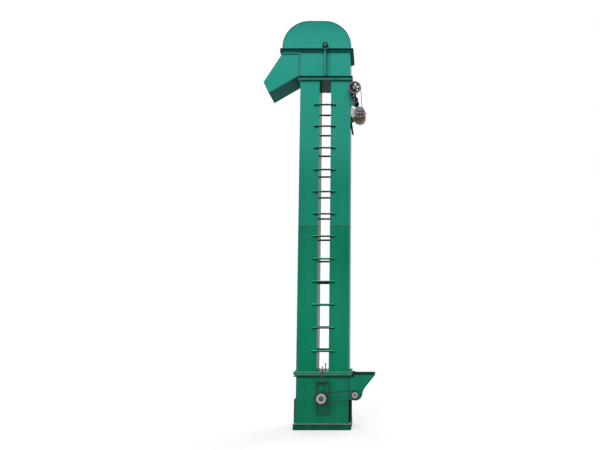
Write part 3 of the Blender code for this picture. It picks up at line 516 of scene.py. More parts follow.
@dataclass(frozen=True)
class TreadPaint(Recipe):
    """Paint on a round rung with painted light: a painted highlight on top and painted shade below, by each
    face's direction.
    """

    rubbed: Tone
    grimy: Tone
    gloss: float = 0.08
    rubbed_from: Pair = (0.0, 0.65)
    rough: Pair = (0.3, 0.5)
    dust_scale: float = 9.0

    def fill(self, made: Shader) -> None:
        """Makes the material's nodes.

        Args:
            made: The material's graph.
        """
        # Painted highlight on faces that look up, painted shade on faces that look down.
        share = made.between(made.part(made.normal(), "Z"), *self.rubbed_from)
        paint = made.blend(share, self.grimy.linear(), self.rubbed.linear())
        # The painted shade's tone also colours the dust and the painted sheen.
        dust_and_sheen_out = made.weathered(paint, self.grimy, scale=self.dust_scale)
        rough = made.between(dust_and_sheen_out["Mask"], 0.0, 0.3, *self.rough)
        made.surface({"Base Color": dust_and_sheen_out["Color"], "Roughness": rough, "Specular IOR Level": self.gloss})


# The enamel's tone by height above the floor. It turns lighter and bluer towards the top: painted reflection
# of the sky. It is darker towards the bottom.
ENAMEL_AND_PAINTED_REFLECTION = (
    (0.0, Tone(4, 60, 46)),
    (0.069, Tone(6, 66, 50)),
    (0.074, Tone(12, 104, 77)),
    (0.66, Tone(14, 113, 84)),
    (0.70, Tone(20, 118, 88)),
    (0.74, Tone(4, 115, 84)),
    (1.60, Tone(12, 121, 93)),
    (2.50, Tone(2, 109, 80)),
    (2.64, Tone(2, 110, 82)),
    (2.66, Tone(16, 125, 102)),
    (3.20, Tone(18, 122, 100)),
    (3.80, Tone(38, 142, 124)),
    (4.60, Tone(40, 148, 131)),
    (5.10, Tone(48, 156, 141)),
    (5.30, Tone(44, 149, 135)),
    (5.50, Tone(36, 136, 125)),
)
# Dark paint that stands in for shade: painted shade of the channel rims' recesses and of other shaded lines.
RIM_PAINTED_SHADE_TONES = ((0.0, Tone(16, 62, 58)), (4.9, Tone(16, 62, 58)), (5.0, Tone(22, 84, 80)))


class Finish(Enum):
    """Every finish of the elevator."""

    GREEN = GlossPaint("green_paint", ENAMEL_AND_PAINTED_REFLECTION, Tone(128, 176, 160), Tone(50, 142, 120))
    # Painted shade for the rims and other shaded lines.
    RIM = GlossPaint("rim_paint", RIM_PAINTED_SHADE_TONES, Tone(70, 120, 110), Tone(40, 84, 78))
    FLANGE = CastPaint("flange_paint", Tone(34, 112, 94), Tone(88, 156, 136), 0.4)
    # Front rungs: a painted highlight on top, painted shade below.
    RUNG = TreadPaint("rung_paint", Tone(54, 184, 148), Tone(0, 42, 34))
    # Back rungs: near black, painted shade.
    BACK_RUNG = TreadPaint("back_rung_paint", Tone(4, 30, 26), Tone(2, 12, 11), 0.0)
    SEAM = CastPaint("seam_strip", Tone(60, 126, 110), Tone(96, 150, 134))
    # The pale middle of the posts: painted highlight.
    POST = CastPaint("post_face", Tone(56, 150, 134), Tone(100, 164, 150))
    GUIDE = CastPaint("guide_paint", Tone(50, 84, 62), Tone(88, 110, 88))
    SCREW = CastPaint("screw_steel", Tone(84, 78, 68), Tone(120, 110, 96))
    LEFT_COVER = CastPaint("left_cover_paint", Tone(38, 84, 60), Tone(84, 116, 92))
    # The right cover's near-black tone is painted shade.
    RIGHT_COVER = CastPaint("right_cover_paint", Tone(34, 44, 38), Tone(40, 50, 46), 0.7)
    LINER = CastPaint("inside_paint", Tone(12, 66, 54), Tone(40, 84, 72), 0.7)
    # Pale: painted highlight of lit plate edges at the boot's joint and foot.
    SEALANT = CastPaint("sealant", Tone(126, 156, 136), Tone(156, 170, 158), 0.6)
    # Near black: dark fittings, and painted shadow and shade where it is laid in strips, plates and pockets.
    GASKET = CastPaint("gasket", Tone(8, 26, 22), Tone(26, 44, 40), 0.8, 0.03)
    STEEL = TurnedMetal("shaft_steel", Tone(158, 154, 148), Tone(96, 84, 74), Joint.HEAD)
    DARK_STEEL = CastPaint("dark_steel", Tone(40, 46, 52), Tone(84, 88, 92), 0.5, 0.08)
    SHAFT_END = CastPaint("shaft_end", Tone(128, 150, 142), Tone(84, 104, 98))
    ZINC = CastPaint("zinc", Tone(150, 154, 152), Tone(104, 104, 100), 0.4, metallic=0.8)
    CAST = CastPaint("cast_iron", Tone(18, 54, 50), Tone(66, 96, 90))
    CHAIN = CastPaint("oiled_chain", Tone(6, 34, 42), Tone(26, 56, 62), 0.45, 0.02)
    BELT = CastPaint("belt_rubber", Tone(46, 44, 56), Tone(84, 80, 90), 0.7)
    BELTING = CastPaint("belting", Tone(30, 30, 30), Tone(80, 76, 68), 0.8)
    BUCKET = CastPaint("bucket_steel", Tone(128, 134, 132), Tone(170, 170, 164), 0.45, metallic=0.6)
    PULLEY_RIM = TurnedMetal("pulley_rim", Tone(132, 128, 142), Tone(78, 74, 88), Joint.COUNTERSHAFT)
    PULLEY_WEB = CastPaint("pulley_web", Tone(38, 38, 50), Tone(84, 82, 94))
    PULLEY_HUB = CastPaint("pulley_hub", Tone(140, 142, 136), Tone(96, 96, 92), 0.45, metallic=0.3)
    TAIL_METAL = TurnedMetal("tail_pulley", Tone(176, 164, 164), Tone(140, 122, 120), Joint.TAIL, 0.4)
    TAIL_WEB = CastPaint("tail_web", Tone(132, 112, 100), Tone(170, 150, 140))
    HUB_GREEN = CastPaint("hub_green", Tone(24, 96, 72), Tone(80, 136, 116), 0.4)
    BRACKET = CastPaint("bracket_paint", Tone(84, 126, 124), Tone(120, 150, 146), dust_share=0.5)
    MOTOR_GREY = CastPaint("motor_grey", Tone(140, 144, 152), Tone(186, 188, 192), 0.42)
    MOTOR_FRAME = CastPaint("motor_frame", Tone(234, 176, 108), Tone(170, 120, 98), dust_share=0.7)
    MOTOR_COWL = CastPaint("motor_cowl", Tone(236, 228, 222), Tone(204, 196, 192), 0.4, dust_share=0.5)
    STAY = CastPaint("stay_paint", Tone(14, 46, 54), Tone(40, 66, 72), 0.6)
    PALE_CAST = CastPaint("pale_cast", Tone(212, 212, 204), Tone(166, 160, 158))

    def build(self, effects: EffectLibrary, axes: dict[Joint, Vector]) -> Material:
        """Makes the material.

        Args:
            effects: The shared effects.
            axes: The joints' places.

        Returns:
            The new material.
        """
        made = Shader(self.value.name, effects, axes)
        self.value.fill(made)
        return made.material


def break_edges(made: BMesh, edges: Iterable[BMEdge], width: float, segments: int = 1) -> None:
    """Bevels edges.

    Args:
        made: The mesh that holds them.
        edges: The edges.
        width: The bevel's width.
        segments: How many faces the bevel has across.
    """
    bmesh.ops.bevel(
        made, geom=list(edges), offset=width, segments=segments, profile=0.5, affect="EDGES", material=-1
    )


def block(first: Sequence[float], last: Sequence[float], bevel: float = 0.0) -> BMesh:
    """A box.

    Args:
        first: One corner.
        last: The opposite corner.
        bevel: The width of its broken edges.

    Returns:
        The mesh.
    """
    made = bmesh.new()
    bmesh.ops.create_cube(made, size=1.0)
    size = [abs(far - near) for near, far in zip(first, last)]
    bmesh.ops.scale(made, vec=size, verts=made.verts[:])
    bmesh.ops.translate(made, vec=(Vector(first) + Vector(last)) / 2, verts=made.verts[:])
    if bevel:
        break_edges(made, made.edges[:], bevel)
    return made


def upright_to(direction: Vector) -> Matrix:
    """The turn that takes +Z to a direction."""
    return Vector(UP).rotation_difference(direction).to_matrix().to_4x4()


def about(axis: Vector, angle: float) -> Matrix:
    """The place of a part made along +X at the origin, turned about an axis along Y."""
    return Matrix.Translation((axis.x, 0.0, axis.z)) @ Matrix.Rotation(-angle, 4, "Y")


def rod(
    radius: float, start: Sequence[float], end: Sequence[float], sides: int, bevel: float = 0.0
) -> BMesh:
    """A round bar between two points.

    Args:
        radius: Its radius.
        start: The middle of one end.
        end: The middle of the other end.
        sides: How many sides it has.
        bevel: The width of the broken edges at its ends.

    Returns:
        The mesh.
    """
    axis = Vector(end) - Vector(start)
    made = bmesh.new()
    bmesh.ops.create_cone(
        made, cap_ends=True, segments=sides, radius1=radius, radius2=radius, depth=axis.length
    )
    if bevel:
        rims = [edge for edge in made.edges if abs(edge.verts[0].co.z - edge.verts[1].co.z) < radius / 1000]
        break_edges(made, rims, bevel, 2)
    place = Matrix.Translation((Vector(end) + Vector(start)) / 2) @ upright_to(axis)
    bmesh.ops.transform(made, matrix=place, verts=made.verts[:])
    return made


def cross_rod(radius: float, centre: Sequence[float], half: float, sides: int) -> BMesh:
    """A round bar along Y that reaches half its length to each side of a point."""
    x, y, z = centre
    return rod(radius, (x, y - half, z), (x, y + half, z), sides)


def turned(profile: Outline, axis: Vector, steps: int = 48) -> BMesh:
    """A shape turned about an axis along Y.

    Args:
        profile: (radius, y) points. A profile that ends where it starts makes a ring.
        axis: A point on the axis.
        steps: How many faces it has round.

    Returns:
        The mesh, closed, with its faces pointing out.
    """
    made = bmesh.new()
    points = [made.verts.new((radius, along_y, 0.0)) for radius, along_y in profile]
    edges = [made.edges.new(pair) for pair in zip(points, points[1:])]
    spun = {"cent": (0.0, 0.0, 0.0), "axis": (0.0, 1.0, 0.0), "angle": math.tau, "use_merge": True}
    bmesh.ops.spin(made, geom=points + edges, steps=steps, **spun)
    bmesh.ops.remove_doubles(made, verts=made.verts[:], dist=1e-6)
    bmesh.ops.recalc_face_normals(made, faces=made.faces[:])
    bmesh.ops.translate(made, vec=(axis.x, 0.0, axis.z), verts=made.verts[:])
    return made


def ring(inner: float, outer: float, near: float, far: float) -> list[Pair]:
    """The closed profile of a ring between two radii and two places along Y."""
    return [(inner, near), (outer, near), (outer, far), (inner, far), (inner, near)]


def mirrored(front: Outline) -> list[Pair]:
    """The closed profile whose back half mirrors its front half."""
    return [*front, *((radius, -y) for radius, y in reversed(front)), front[0]]


def shifted(profile: Outline, start: float, way: int = 1) -> list[Pair]:
    """A profile moved along Y, and turned round where the way is -1."""
    return [(radius, start + way * y) for radius, y in profile]


def plug(radius: float, near: float, far: float) -> list[Pair]:
    """The profile of a solid disc between two places along Y."""
    return [(0.0, near), (radius, near), (radius, far), (0.0, far)]


def shaft(radius: float, box: tuple[Vector, Vector], chamfer: float, hole: float = 0.0) -> list[Pair]:
    """The profile of a shaft.

    Args:
        radius: Its radius.
        box: The box that gives its ends.
        chamfer: The width of its broken edges: at both ends with a centre hole, else at the front alone.
        hole: The depth of the centre hole in its front end.

    Returns:
        The (radius, y) points.
    """
    near, far = box[0].y, box[1].y
    front = [(radius - chamfer, near), (radius, near + chamfer)]
    if not hole:
        return [(0.0, near), *front, (radius, far), (0.0, far)]
    centre = [(0.0, near + hole), (0.003, near + hole), (0.003 + hole / 2, near)]
    return [*centre, *front, (radius, far - chamfer), (radius - chamfer, far), (0.0, far)]


def extruded(outline: Outline, near: float, far: float, bevel: float = 0.0) -> BMesh:
    """An outline in the XZ plane, extruded along Y.

    Args:
        outline: Its (x, z) points.
        near: The y of one face.
        far: The y of the other face.
        bevel: The width of the broken edges round both faces.

    Returns:
        The mesh.
    """
    made = bmesh.new()
    face = made.faces.new([made.verts.new((x, near, z)) for x, z in outline])
    grown = bmesh.ops.extrude_face_region(made, geom=[face])["geom"]
    moved = [part for part in grown if isinstance(part, BMVert)]
    bmesh.ops.translate(made, vec=(0.0, far - near, 0.0), verts=moved)
    bmesh.ops.recalc_face_normals(made, faces=made.faces[:])
    if bevel:
        rims = [edge for edge in made.edges if abs(edge.verts[0].co.y - edge.verts[1].co.y) < 1e-9]
        break_edges(made, rims, bevel)
    return made


def arc(centre: Pair, radius: float, start: float, end: float, steps: int) -> list[Pair]:
    """The points of an arc in the XZ plane.

    Args:
        centre: Its x and z.
        radius: Its radius.
        start: Its first angle.
        end: Its last angle.
        steps: How many pieces it has.

    Returns:
        The (x, z) points, both ends included.
    """
    turns = [start + (end - start) * step / steps for step in range(steps + 1)]
    return [(centre[0] + radius * math.cos(turn), centre[1] + radius * math.sin(turn)) for turn in turns]


def angles(count: int, share: float = 0.0) -> list[float]:
    """Evenly spread angles, of which the first is this share of a step past zero."""
    return [math.tau * (number + share) / count for number in range(count)]


def circle(axis: Vector, radius: float, turns: Iterable[float], y: float) -> list[Triple]:
    """The points at some angles on a circle about an axis along Y."""
    return [(axis.x + radius * math.cos(turn), y, axis.z + radius * math.sin(turn)) for turn in turns]


def along(start: Sequence[float], end: Sequence[float], count: int) -> list[Vector]:
    """Evenly spaced points on a line, both ends included."""
    return [Vector(start).lerp(Vector(end), step / (count - 1)) for step in range(count)]


def carve(made: BMesh, *cutters: BMesh) -> BMesh:
    """Cuts shapes out of another, one after the other.

    Args:
        made: The shape that is cut. It is freed.
        cutters: The shapes that are taken away. They are freed.

    Returns:
        What is left.
    """
    for cutter in cutters:
        holders = []
        for shape in (made, cutter):
            mesh = bpy.data.meshes.new("carving")
            shape.to_mesh(mesh)
            shape.free()
            holders.append(bpy.data.objects.new("carving", mesh))
            bpy.context.scene.collection.objects.link(holders[-1])
        step = holders[0].modifiers.new("cut", "BOOLEAN")
        step.operation = "DIFFERENCE"
        step.object = holders[1]
        made = bmesh.new()
        made.from_object(holders[0], bpy.context.evaluated_depsgraph_get())
        for holder in holders:
            mesh = holder.data
            bpy.data.objects.remove(holder)
            bpy.data.meshes.remove(mesh)
    return made


def packed_nodes() -> list[str]:
    """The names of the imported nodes."""
    return [made.name for made in bpy.data.objects if "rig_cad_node" in made]


class Shape:
    """A mesh that grows from parts, in metres in the row frame."""

    def __init__(self) -> None:
        """Starts empty."""
        self.mesh = bmesh.new()

    def take(self, part: BMesh, finish: int | None = 0, place: Matrix | None = None) -> None:
        """Adds a part and frees it.

        Args:
            part: The part's mesh.
            finish: The number of its material on the piece, or None to keep its faces' own numbers.
            place: Where it goes, if it isn't in place yet.
        """
        if finish is not None:
            for face in part.faces:
                face.material_index = finish
        if place is not None:
            bmesh.ops.transform(part, matrix=place, verts=part.verts[:])
        carrier = bpy.data.meshes.new("carrier")
        part.to_mesh(carrier)
        part.free()
        self.mesh.from_mesh(carrier)
        bpy.data.meshes.remove(carrier)

    def take_all(self, parts: Iterable[BMesh], finish: int | None = 0) -> None:
        """Adds parts that are in place, and frees them."""
        for part in parts:
            self.take(part, finish)

    def place(self, name: str, materials: Iterable[Material]) -> bpy.types.Object:
        """Makes the piece's object, in place.

        Args:
            name: The piece's name.
            materials: Its materials, in the order of their numbers.

        Returns:
            The new object.
        """
        mesh = bpy.data.meshes.new(name)
        self.mesh.to_mesh(mesh)
        self.mesh.free()
        for material in materials:
            mesh.materials.append(material)
        mesh.shade_smooth()
        mesh.set_sharp_from_angle(angle=SMOOTH_ANGLE)
        made = bpy.data.objects.new(name, mesh)
        bpy.context.scene.collection.objects.link(made)
        return made


@dataclass(frozen=True)
class Bolt:
    """A hexagon head or nut on a washer."""

    across: float = 0.018
    height: float = 0.008
    washer: float = 0.0015
    stud: float = 0.0

    def seat(
        self, shape: Shape, spots: Iterable[Sequence[float]], outward: Sequence[float], finish: int = 0
    ) -> None:
        """Sets bolts on a face.

        Args:
            shape: The shape that takes them.
            spots: Where their washers touch the face.
            outward: The direction that their heads point in.
            finish: The number of their material.
        """
        base, top = self.washer, self.washer + self.height
        for spot in spots:
            place = Matrix.Translation(Vector(spot)) @ upright_to(Vector(outward))
            shape.take(rod(self.across * 0.62, (0.0, 0.0, -SKIN), (0.0, 0.0, base), 14), finish, place)
            head = rod(self.across / math.sqrt(3), (0.0, 0.0, base), (0.0, 0.0, top), 6)
            crown = [edge for edge in head.edges if min(v.co.z for v in edge.verts) > (base + top) / 2]
            break_edges(head, crown, self.across * 0.07)
            shape.take(head, finish, place)
            if self.stud:
                ends = (0.0, 0.0, top - 0.001), (0.0, 0.0, top + self.stud)
                shape.take(rod(self.across * 0.3, *ends, 10, 0.001), finish, place)


@dataclass(frozen=True)
class Footprint:
    """The outline of a box seen from above, which flanges, rims and joints follow."""

    low: Vector
    high: Vector

    @classmethod
    def of(cls, node: str, grown: float = 0.0) -> Footprint:
        """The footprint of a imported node, a little larger or smaller."""
        edge = Vector((grown, grown, 0.0))
        return cls(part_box(node)[0] - edge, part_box(node)[1] + edge)

    def bars(self, low_z: float, high_z: float, reach: float, bevel: float = 0.0) -> list[BMesh]:
        """Four bars round the footprint.

        Args:
            low_z: The height of their undersides.
            high_z: The height of their upper faces.
            reach: How far they reach inwards.
            bevel: The width of their broken edges.

        Returns:
            The meshes: front, back, left and right.
        """
        low, high = self.low, self.high
        spans = (
            ((low.x, low.y), (high.x, low.y + reach)),
            ((low.x, high.y - reach), (high.x, high.y)),
            ((low.x, low.y + reach), (low.x + reach, high.y - reach)),
            ((high.x - reach, low.y + reach), (high.x, high.y - reach)),
        )
        return [block((*first, low_z), (*last, high_z), bevel) for first, last in spans]

    def channel(self, low_z: float, high_z: float, skin: float = 0.0) -> list[BMesh]:
        """A rim of channel steel: a lower and an upper plate, and the web between them.

        Args:
            low_z: The height of its underside.
            high_z: The height of its upper face.
            skin: How much the steel is thicker on each side.

        Returns:
            The meshes: front, back, left and right of the lower plate, then of the upper one and the web.
        """
        reach, plate = RIM_REACH + skin, RIM_PLATE + 2 * skin
        inset = Vector((reach - plate, reach - plate, 0.0))
        web = Footprint(self.low + inset, self.high - inset)
        parts = self.bars(low_z, low_z + plate, reach, PLATE_EDGE)
        parts += self.bars(high_z - plate, high_z, reach, PLATE_EDGE)
        return parts + web.bars(low_z + plate, high_z - plate, plate)


@dataclass(frozen=True)
class Collar:
    """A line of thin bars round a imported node: how it lies to a height, and how far it reaches inwards."""

    grown: float
    under: float
    over: float
    reach: float
    bevel: float = 0.0

    def bars(self, node: str, z: float) -> list[BMesh]:
        """The four bars round a node at a height."""
        return Footprint.of(node, self.grown).bars(z - self.under, z + self.over, self.reach, self.bevel)


@dataclass(frozen=True)
class BoltPattern:
    """Where a flange has its bolts: how far in, how far from the corners, and how many to a side."""

    inset: float
    margin: float
    count: int
    side_count: int = 0
    side_half: float = 0.15

    def spots(self, edge: Footprint, z: float) -> list[Vector]:
        """The bolts' places round a footprint.

        Args:
            edge: The footprint.
            z: Their height.

        Returns:
            The places at the front and the back, then at the left and the right.
        """
        low, high = edge.low, edge.high
        made = []
        for y in (low.y + self.inset, high.y - self.inset):
            made += along((low.x + self.margin, y, z), (high.x - self.margin, y, z), self.count)
        for x in (low.x + self.inset, high.x - self.inset):
            if self.side_count:
                made += along((x, -self.side_half, z), (x, self.side_half, z), self.side_count)
        return made


def number_by_radius(part: BMesh, axis: Vector, bands: Sequence[tuple[float, int]]) -> BMesh:
    """Numbers the faces of a part by their distance from an axis along Y.

    Args:
        part: The part.
        axis: A point on the axis.
        bands: Each band's outer radius and number, from the inside out.

    Returns:
        The same part.
    """
    for face in part.faces:
        centre = face.calc_center_median()
        reach = math.hypot(centre.x - axis.x, centre.z - axis.z)
        face.material_index = next(number for limit, number in bands if reach <= limit)
    return part


@dataclass(frozen=True)
class LoopPath:
    """The line of a chain or belt round two joints. It runs anticlockwise seen from the front."""

    first: Vector
    first_radius: float
    second: Vector
    second_radius: float

    def lines(self) -> tuple[float, float, float]:
        """How the straights lie.

        Returns:
            The heading between the centres, the lean of the straights from it, and a straight's length.
        """
        across = self.second - self.first
        gap = math.hypot(across.x, across.z)
        lean = math.acos((self.first_radius - self.second_radius) / gap)
        return math.atan2(across.z, across.x), lean, gap * math.sin(lean)

    def arcs(self) -> tuple[tuple[Vector, float, float, float], ...]:
        """The two arcs of the loop.

        Returns:
            For each its centre, its radius, the angle where the loop meets it, and how far it turns.
        """
        heading, lean, _ = self.lines()
        first = (self.first, self.first_radius, heading + lean, math.tau - 2 * lean)
        return first, (self.second, self.second_radius, heading - lean, 2 * lean)

    def length(self) -> float:
        """How long the whole loop is."""
        return 2 * self.lines()[2] + sum(radius * turn for _, radius, _, turn in self.arcs())

    def at(self, distance: float) -> tuple[float, float, float]:
        """A place on the loop.

        Args:
            distance: How far it is along the loop, from where the loop leaves the second arc.

        Returns:
            Its x and z, and the direction of the loop's outward side as an angle.
        """
        straight = self.lines()[2]
        rest = distance % self.length()
        for centre, radius, outward, turn in self.arcs():
            left = max(straight - rest, 0.0)
            facing = outward + max(rest - straight, 0.0) / radius
            if rest <= straight + radius * turn:
                x = centre.x + radius * math.cos(facing) + left * math.sin(facing)
                return x, centre.z + radius * math.sin(facing) - left * math.cos(facing), facing
            rest -= straight + radius * turn
        raise ValueError("the distance lies off the loop")

    def band(self, section: Outline) -> BMesh:
        """A belt of constant section on the loop, made by turning and drawing out its section.

        Args:
            section: The section's points as (height above the loop, y).

        Returns:
            The closed mesh.
        """
        made = bmesh.new()
        straight, start = self.lines()[2], self.arcs()[0][2]
        points = []
        for height, y in section:
            reach = self.first_radius + height
            spot = (self.first.x + reach * math.cos(start), y, self.first.z + reach * math.sin(start))
            points.append(made.verts.new(spot))
        last: list[Any] = points + [made.edges.new(pair) for pair in zip(points, points[1:] + points[:1])]
        for centre, _, meeting, turn in self.arcs():
            spun = {"cent": (centre.x, 0.0, centre.z), "axis": (0.0, -1.0, 0.0), "use_merge": False}
            count = max(6, round(BELT_STEPS * turn / math.pi))
            last = bmesh.ops.spin(made, geom=last, angle=turn, steps=count, **spun)["geom_last"]
            edges = [part for part in last if isinstance(part, BMEdge)]
            drawn = bmesh.ops.extrude_edge_only(made, edges=edges)["geom"]
            last = [part for part in drawn if not isinstance(part, BMFace)]
            leaving = meeting + turn
            run = Vector((-math.sin(leaving), 0.0, math.cos(leaving))) * straight
            bmesh.ops.translate(made, vec=run, verts=[part for part in last if isinstance(part, BMVert)])
        bmesh.ops.remove_doubles(made, verts=made.verts[:], dist=1e-5)
        bmesh.ops.recalc_face_normals(made, faces=made.faces[:])
        return made


@dataclass(frozen=True)
class Sprocket:
    """A sprocket's toothed disc under a roller chain."""

    teeth: int
    pitch_radius: float
    roller: float = 0.0055
    half: float = 0.005
    clearance: float = 0.0008
    seat: Pair = (1.45, 0.55)
    tips: tuple[Pair, ...] = ((0.42, 0.62), (0.50, 0.68), (0.58, 0.62))

    def disc(self, middle: float) -> BMesh:
        """The disc, centred on the Y axis.

        Args:
            middle: The y of its middle.

        Returns:
            The mesh.
        """
        outline = []
        for turn in angles(self.teeth):
            centre = (self.pitch_radius * math.cos(turn), self.pitch_radius * math.sin(turn))
            start, end = (turn + math.pi * share for share in self.seat)
            outline += arc(centre, self.roller + self.clearance, start, end, 4)
            for share, height in self.tips:
                tip, reach = turn + math.tau / self.teeth * share, self.pitch_radius + self.roller * height
                outline.append((reach * math.cos(tip), reach * math.sin(tip)))
        return extruded(outline, middle - self.half, middle + self.half, 0.0006)


@dataclass(frozen=True)
class Pulley:
    """A V-belt pulley: the bottom of its groove, its rim and its hub."""

    groove: float
    width: float
    belt: float
    hub: float
    rim: float = 0.010
    flange: float = 0.004
    lip: float = 0.0012
    web: float = 0.006

    @property
    def web_radius(self) -> float:
        """Where the recessed web ends and the rim starts."""
        return self.groove - self.rim

    def profile(self, bore: float, middle: float) -> list[Pair]:
        """The profile round Y, with a rim, a recessed web and a hub.

        Args:
            bore: The shaft's radius.
            middle: The y of its middle.

        Returns:
            The closed (radius, y) points.
        """
        half, lip, inner, reach = self.width / 2, self.lip, self.web_radius, self.groove + self.flange
        front = [(bore, -half), (self.hub - lip, -half), (self.hub, lip - half), (self.hub, -self.web)]
        front += [(inner, -self.web), (inner, lip - half), (inner + lip, -half), (reach - lip, -half)]
        front += [(reach, lip - half), (reach, -self.belt / 2), (self.groove, 0.004 - self.belt / 2)]
        return shifted(mirrored(front), middle)


@dataclass
class SubAssembly:
    """A group of pieces that dresses one part of the elevator."""

    palette: dict[Finish, Material]
    axes: dict[Joint, Vector]

    def dress(self, finish: Finish, *nodes: str) -> None:
        """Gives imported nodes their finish.

        Args:
            finish: The finish.
            nodes: The nodes' names.
        """
        for node in nodes:
            slots = bpy.data.objects[node].data.materials
            slots.clear()
            slots.append(self.palette[finish])
            LOG.info("%s: finish %s", node, finish.name)

    def finish(
        self,
        shape: Shape,
        name: str,
        slot: Slot,
        finishes: Sequence[Finish],
        body: Body = Body.ROOT,
        stands_for: Sequence[str] = (),
    ) -> None:
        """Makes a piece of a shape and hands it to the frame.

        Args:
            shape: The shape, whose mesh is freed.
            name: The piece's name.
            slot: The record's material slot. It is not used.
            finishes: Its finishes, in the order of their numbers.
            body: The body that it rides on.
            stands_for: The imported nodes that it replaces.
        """
        made = shape.place(name, [self.palette[finish] for finish in finishes])
        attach(made, body.value)
        if stands_for:
            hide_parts(*stands_for)
        LOG.info("%s: %d faces on %s", name, len(made.data.polygons), body.value)

    def v_belt(self, name: str, node: str, width: float, ends: Sequence[tuple[Joint, float]]) -> None:
        """Makes the V-belt round two pulleys.

        Args:
            name: The piece's name.
            node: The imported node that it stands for.
            width: Its width.
            ends: Each pulley's joint and the radius of its groove.
        """
        low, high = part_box(node)
        half, edge, top = width / 2 - 0.0005, 0.001, BELT_THICKNESS
        right = [(top, half - edge), (top - edge, half), (0.0, width * 0.32)]
        section = [(height, -y) for height, y in reversed(right)] + right
        (first, first_groove), (second, second_groove) = ends
        path = LoopPath(
            self.axes[first], first_groove + BELT_SEAT, self.axes[second], second_groove + BELT_SEAT
        )
        shape = Shape()
        shape.take(path.band(shifted(section, (low.y + high.y) / 2)))
        self.finish(shape, name, Slot.BELT, [Finish.BELT], stands_for=[node])

    def build(self) -> None:
        """Builds and dresses every piece of the group."""
        raise NotImplementedError


@dataclass
class Hood(SubAssembly):
    """The round hood: a wrapped sheet with two side plates and a rim of channel steel."""

    sheet: float = 0.003
    rim_height: float = 0.044
    corner: float = 0.370
    arc_steps: int = 26
    recess: float = 0.005
    bead: float = 0.007
    bead_rise: float = 0.002
    seal_bore: float = 0.024
    seal_radius: float = 0.044
    seal_rise: float = 0.004
    bolt: Bolt = Bolt(0.016, 0.007)
    pattern: BoltPattern = BoltPattern(inset=0.013, margin=0.040, count=11)

    def outline(self, inset: float) -> list[Pair]:
        """The hood's outline from its left foot over the top to its right foot.

        Args:
            inset: How far inside the wrapped sheet's outer face it lies.

        Returns:
            The (x, z) points.
        """
        low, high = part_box("hood")
        left, right = low.x + RIM_REACH + inset, high.x - RIM_REACH - inset
        radius, top = self.corner - inset, high.z - inset
        over = arc((left + radius, top - radius), radius, math.pi, math.pi / 2, self.arc_steps)
        over += arc((right - radius, top - radius), radius, math.pi / 2, 0.0, self.arc_steps)
        return [(left, low.z), *over, (right, low.z)]

    def build(self) -> None:
        """Builds the shell with its rim and bolts, and the round plates that close it round the shaft."""
        low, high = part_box("hood")
        walls = (low.y + RIM_REACH, 1), (high.y - RIM_REACH, -1)
        outer, plate, inner = (self.outline(inset) for inset in (0.0, self.sheet / 2, self.sheet))
        bead = [*inner, *reversed(self.outline(self.sheet + self.bead))]
        shell, seals = Shape(), Shape()
        shell.take(extruded([*outer, *reversed(inner)], walls[0][0], walls[1][0]))
        for wall, inward in walls:
            face = wall + inward * self.recess
            shell.take(extruded(plate, face, face + inward * self.sheet))
            # The bead round each side plate takes the dark rim paint: painted shade of the hood's rounded
            # edge.
            shell.take(extruded(bead, face, face - inward * self.bead_rise), 1)
            seal = ring(self.seal_bore, self.seal_radius, wall, wall - inward * self.seal_rise)
            seals.take(turned(seal, self.axes[Joint.HEAD]))
        edge = Footprint.of("hood")
        # The channel rim and its bolts take the dark rim paint: painted shade of the rim's recess.
        shell.take_all(edge.channel(low.z, low.z + self.rim_height), 1)
        self.bolt.seat(shell, self.pattern.spots(edge, low.z), DOWN, 1)
        self.finish(shell, "hood_shell", Slot.GREEN, [Finish.GREEN, Finish.RIM], stands_for=["hood"])
        self.finish(seals, "hood_shaft_seals", Slot.GREEN, [Finish.GREEN])


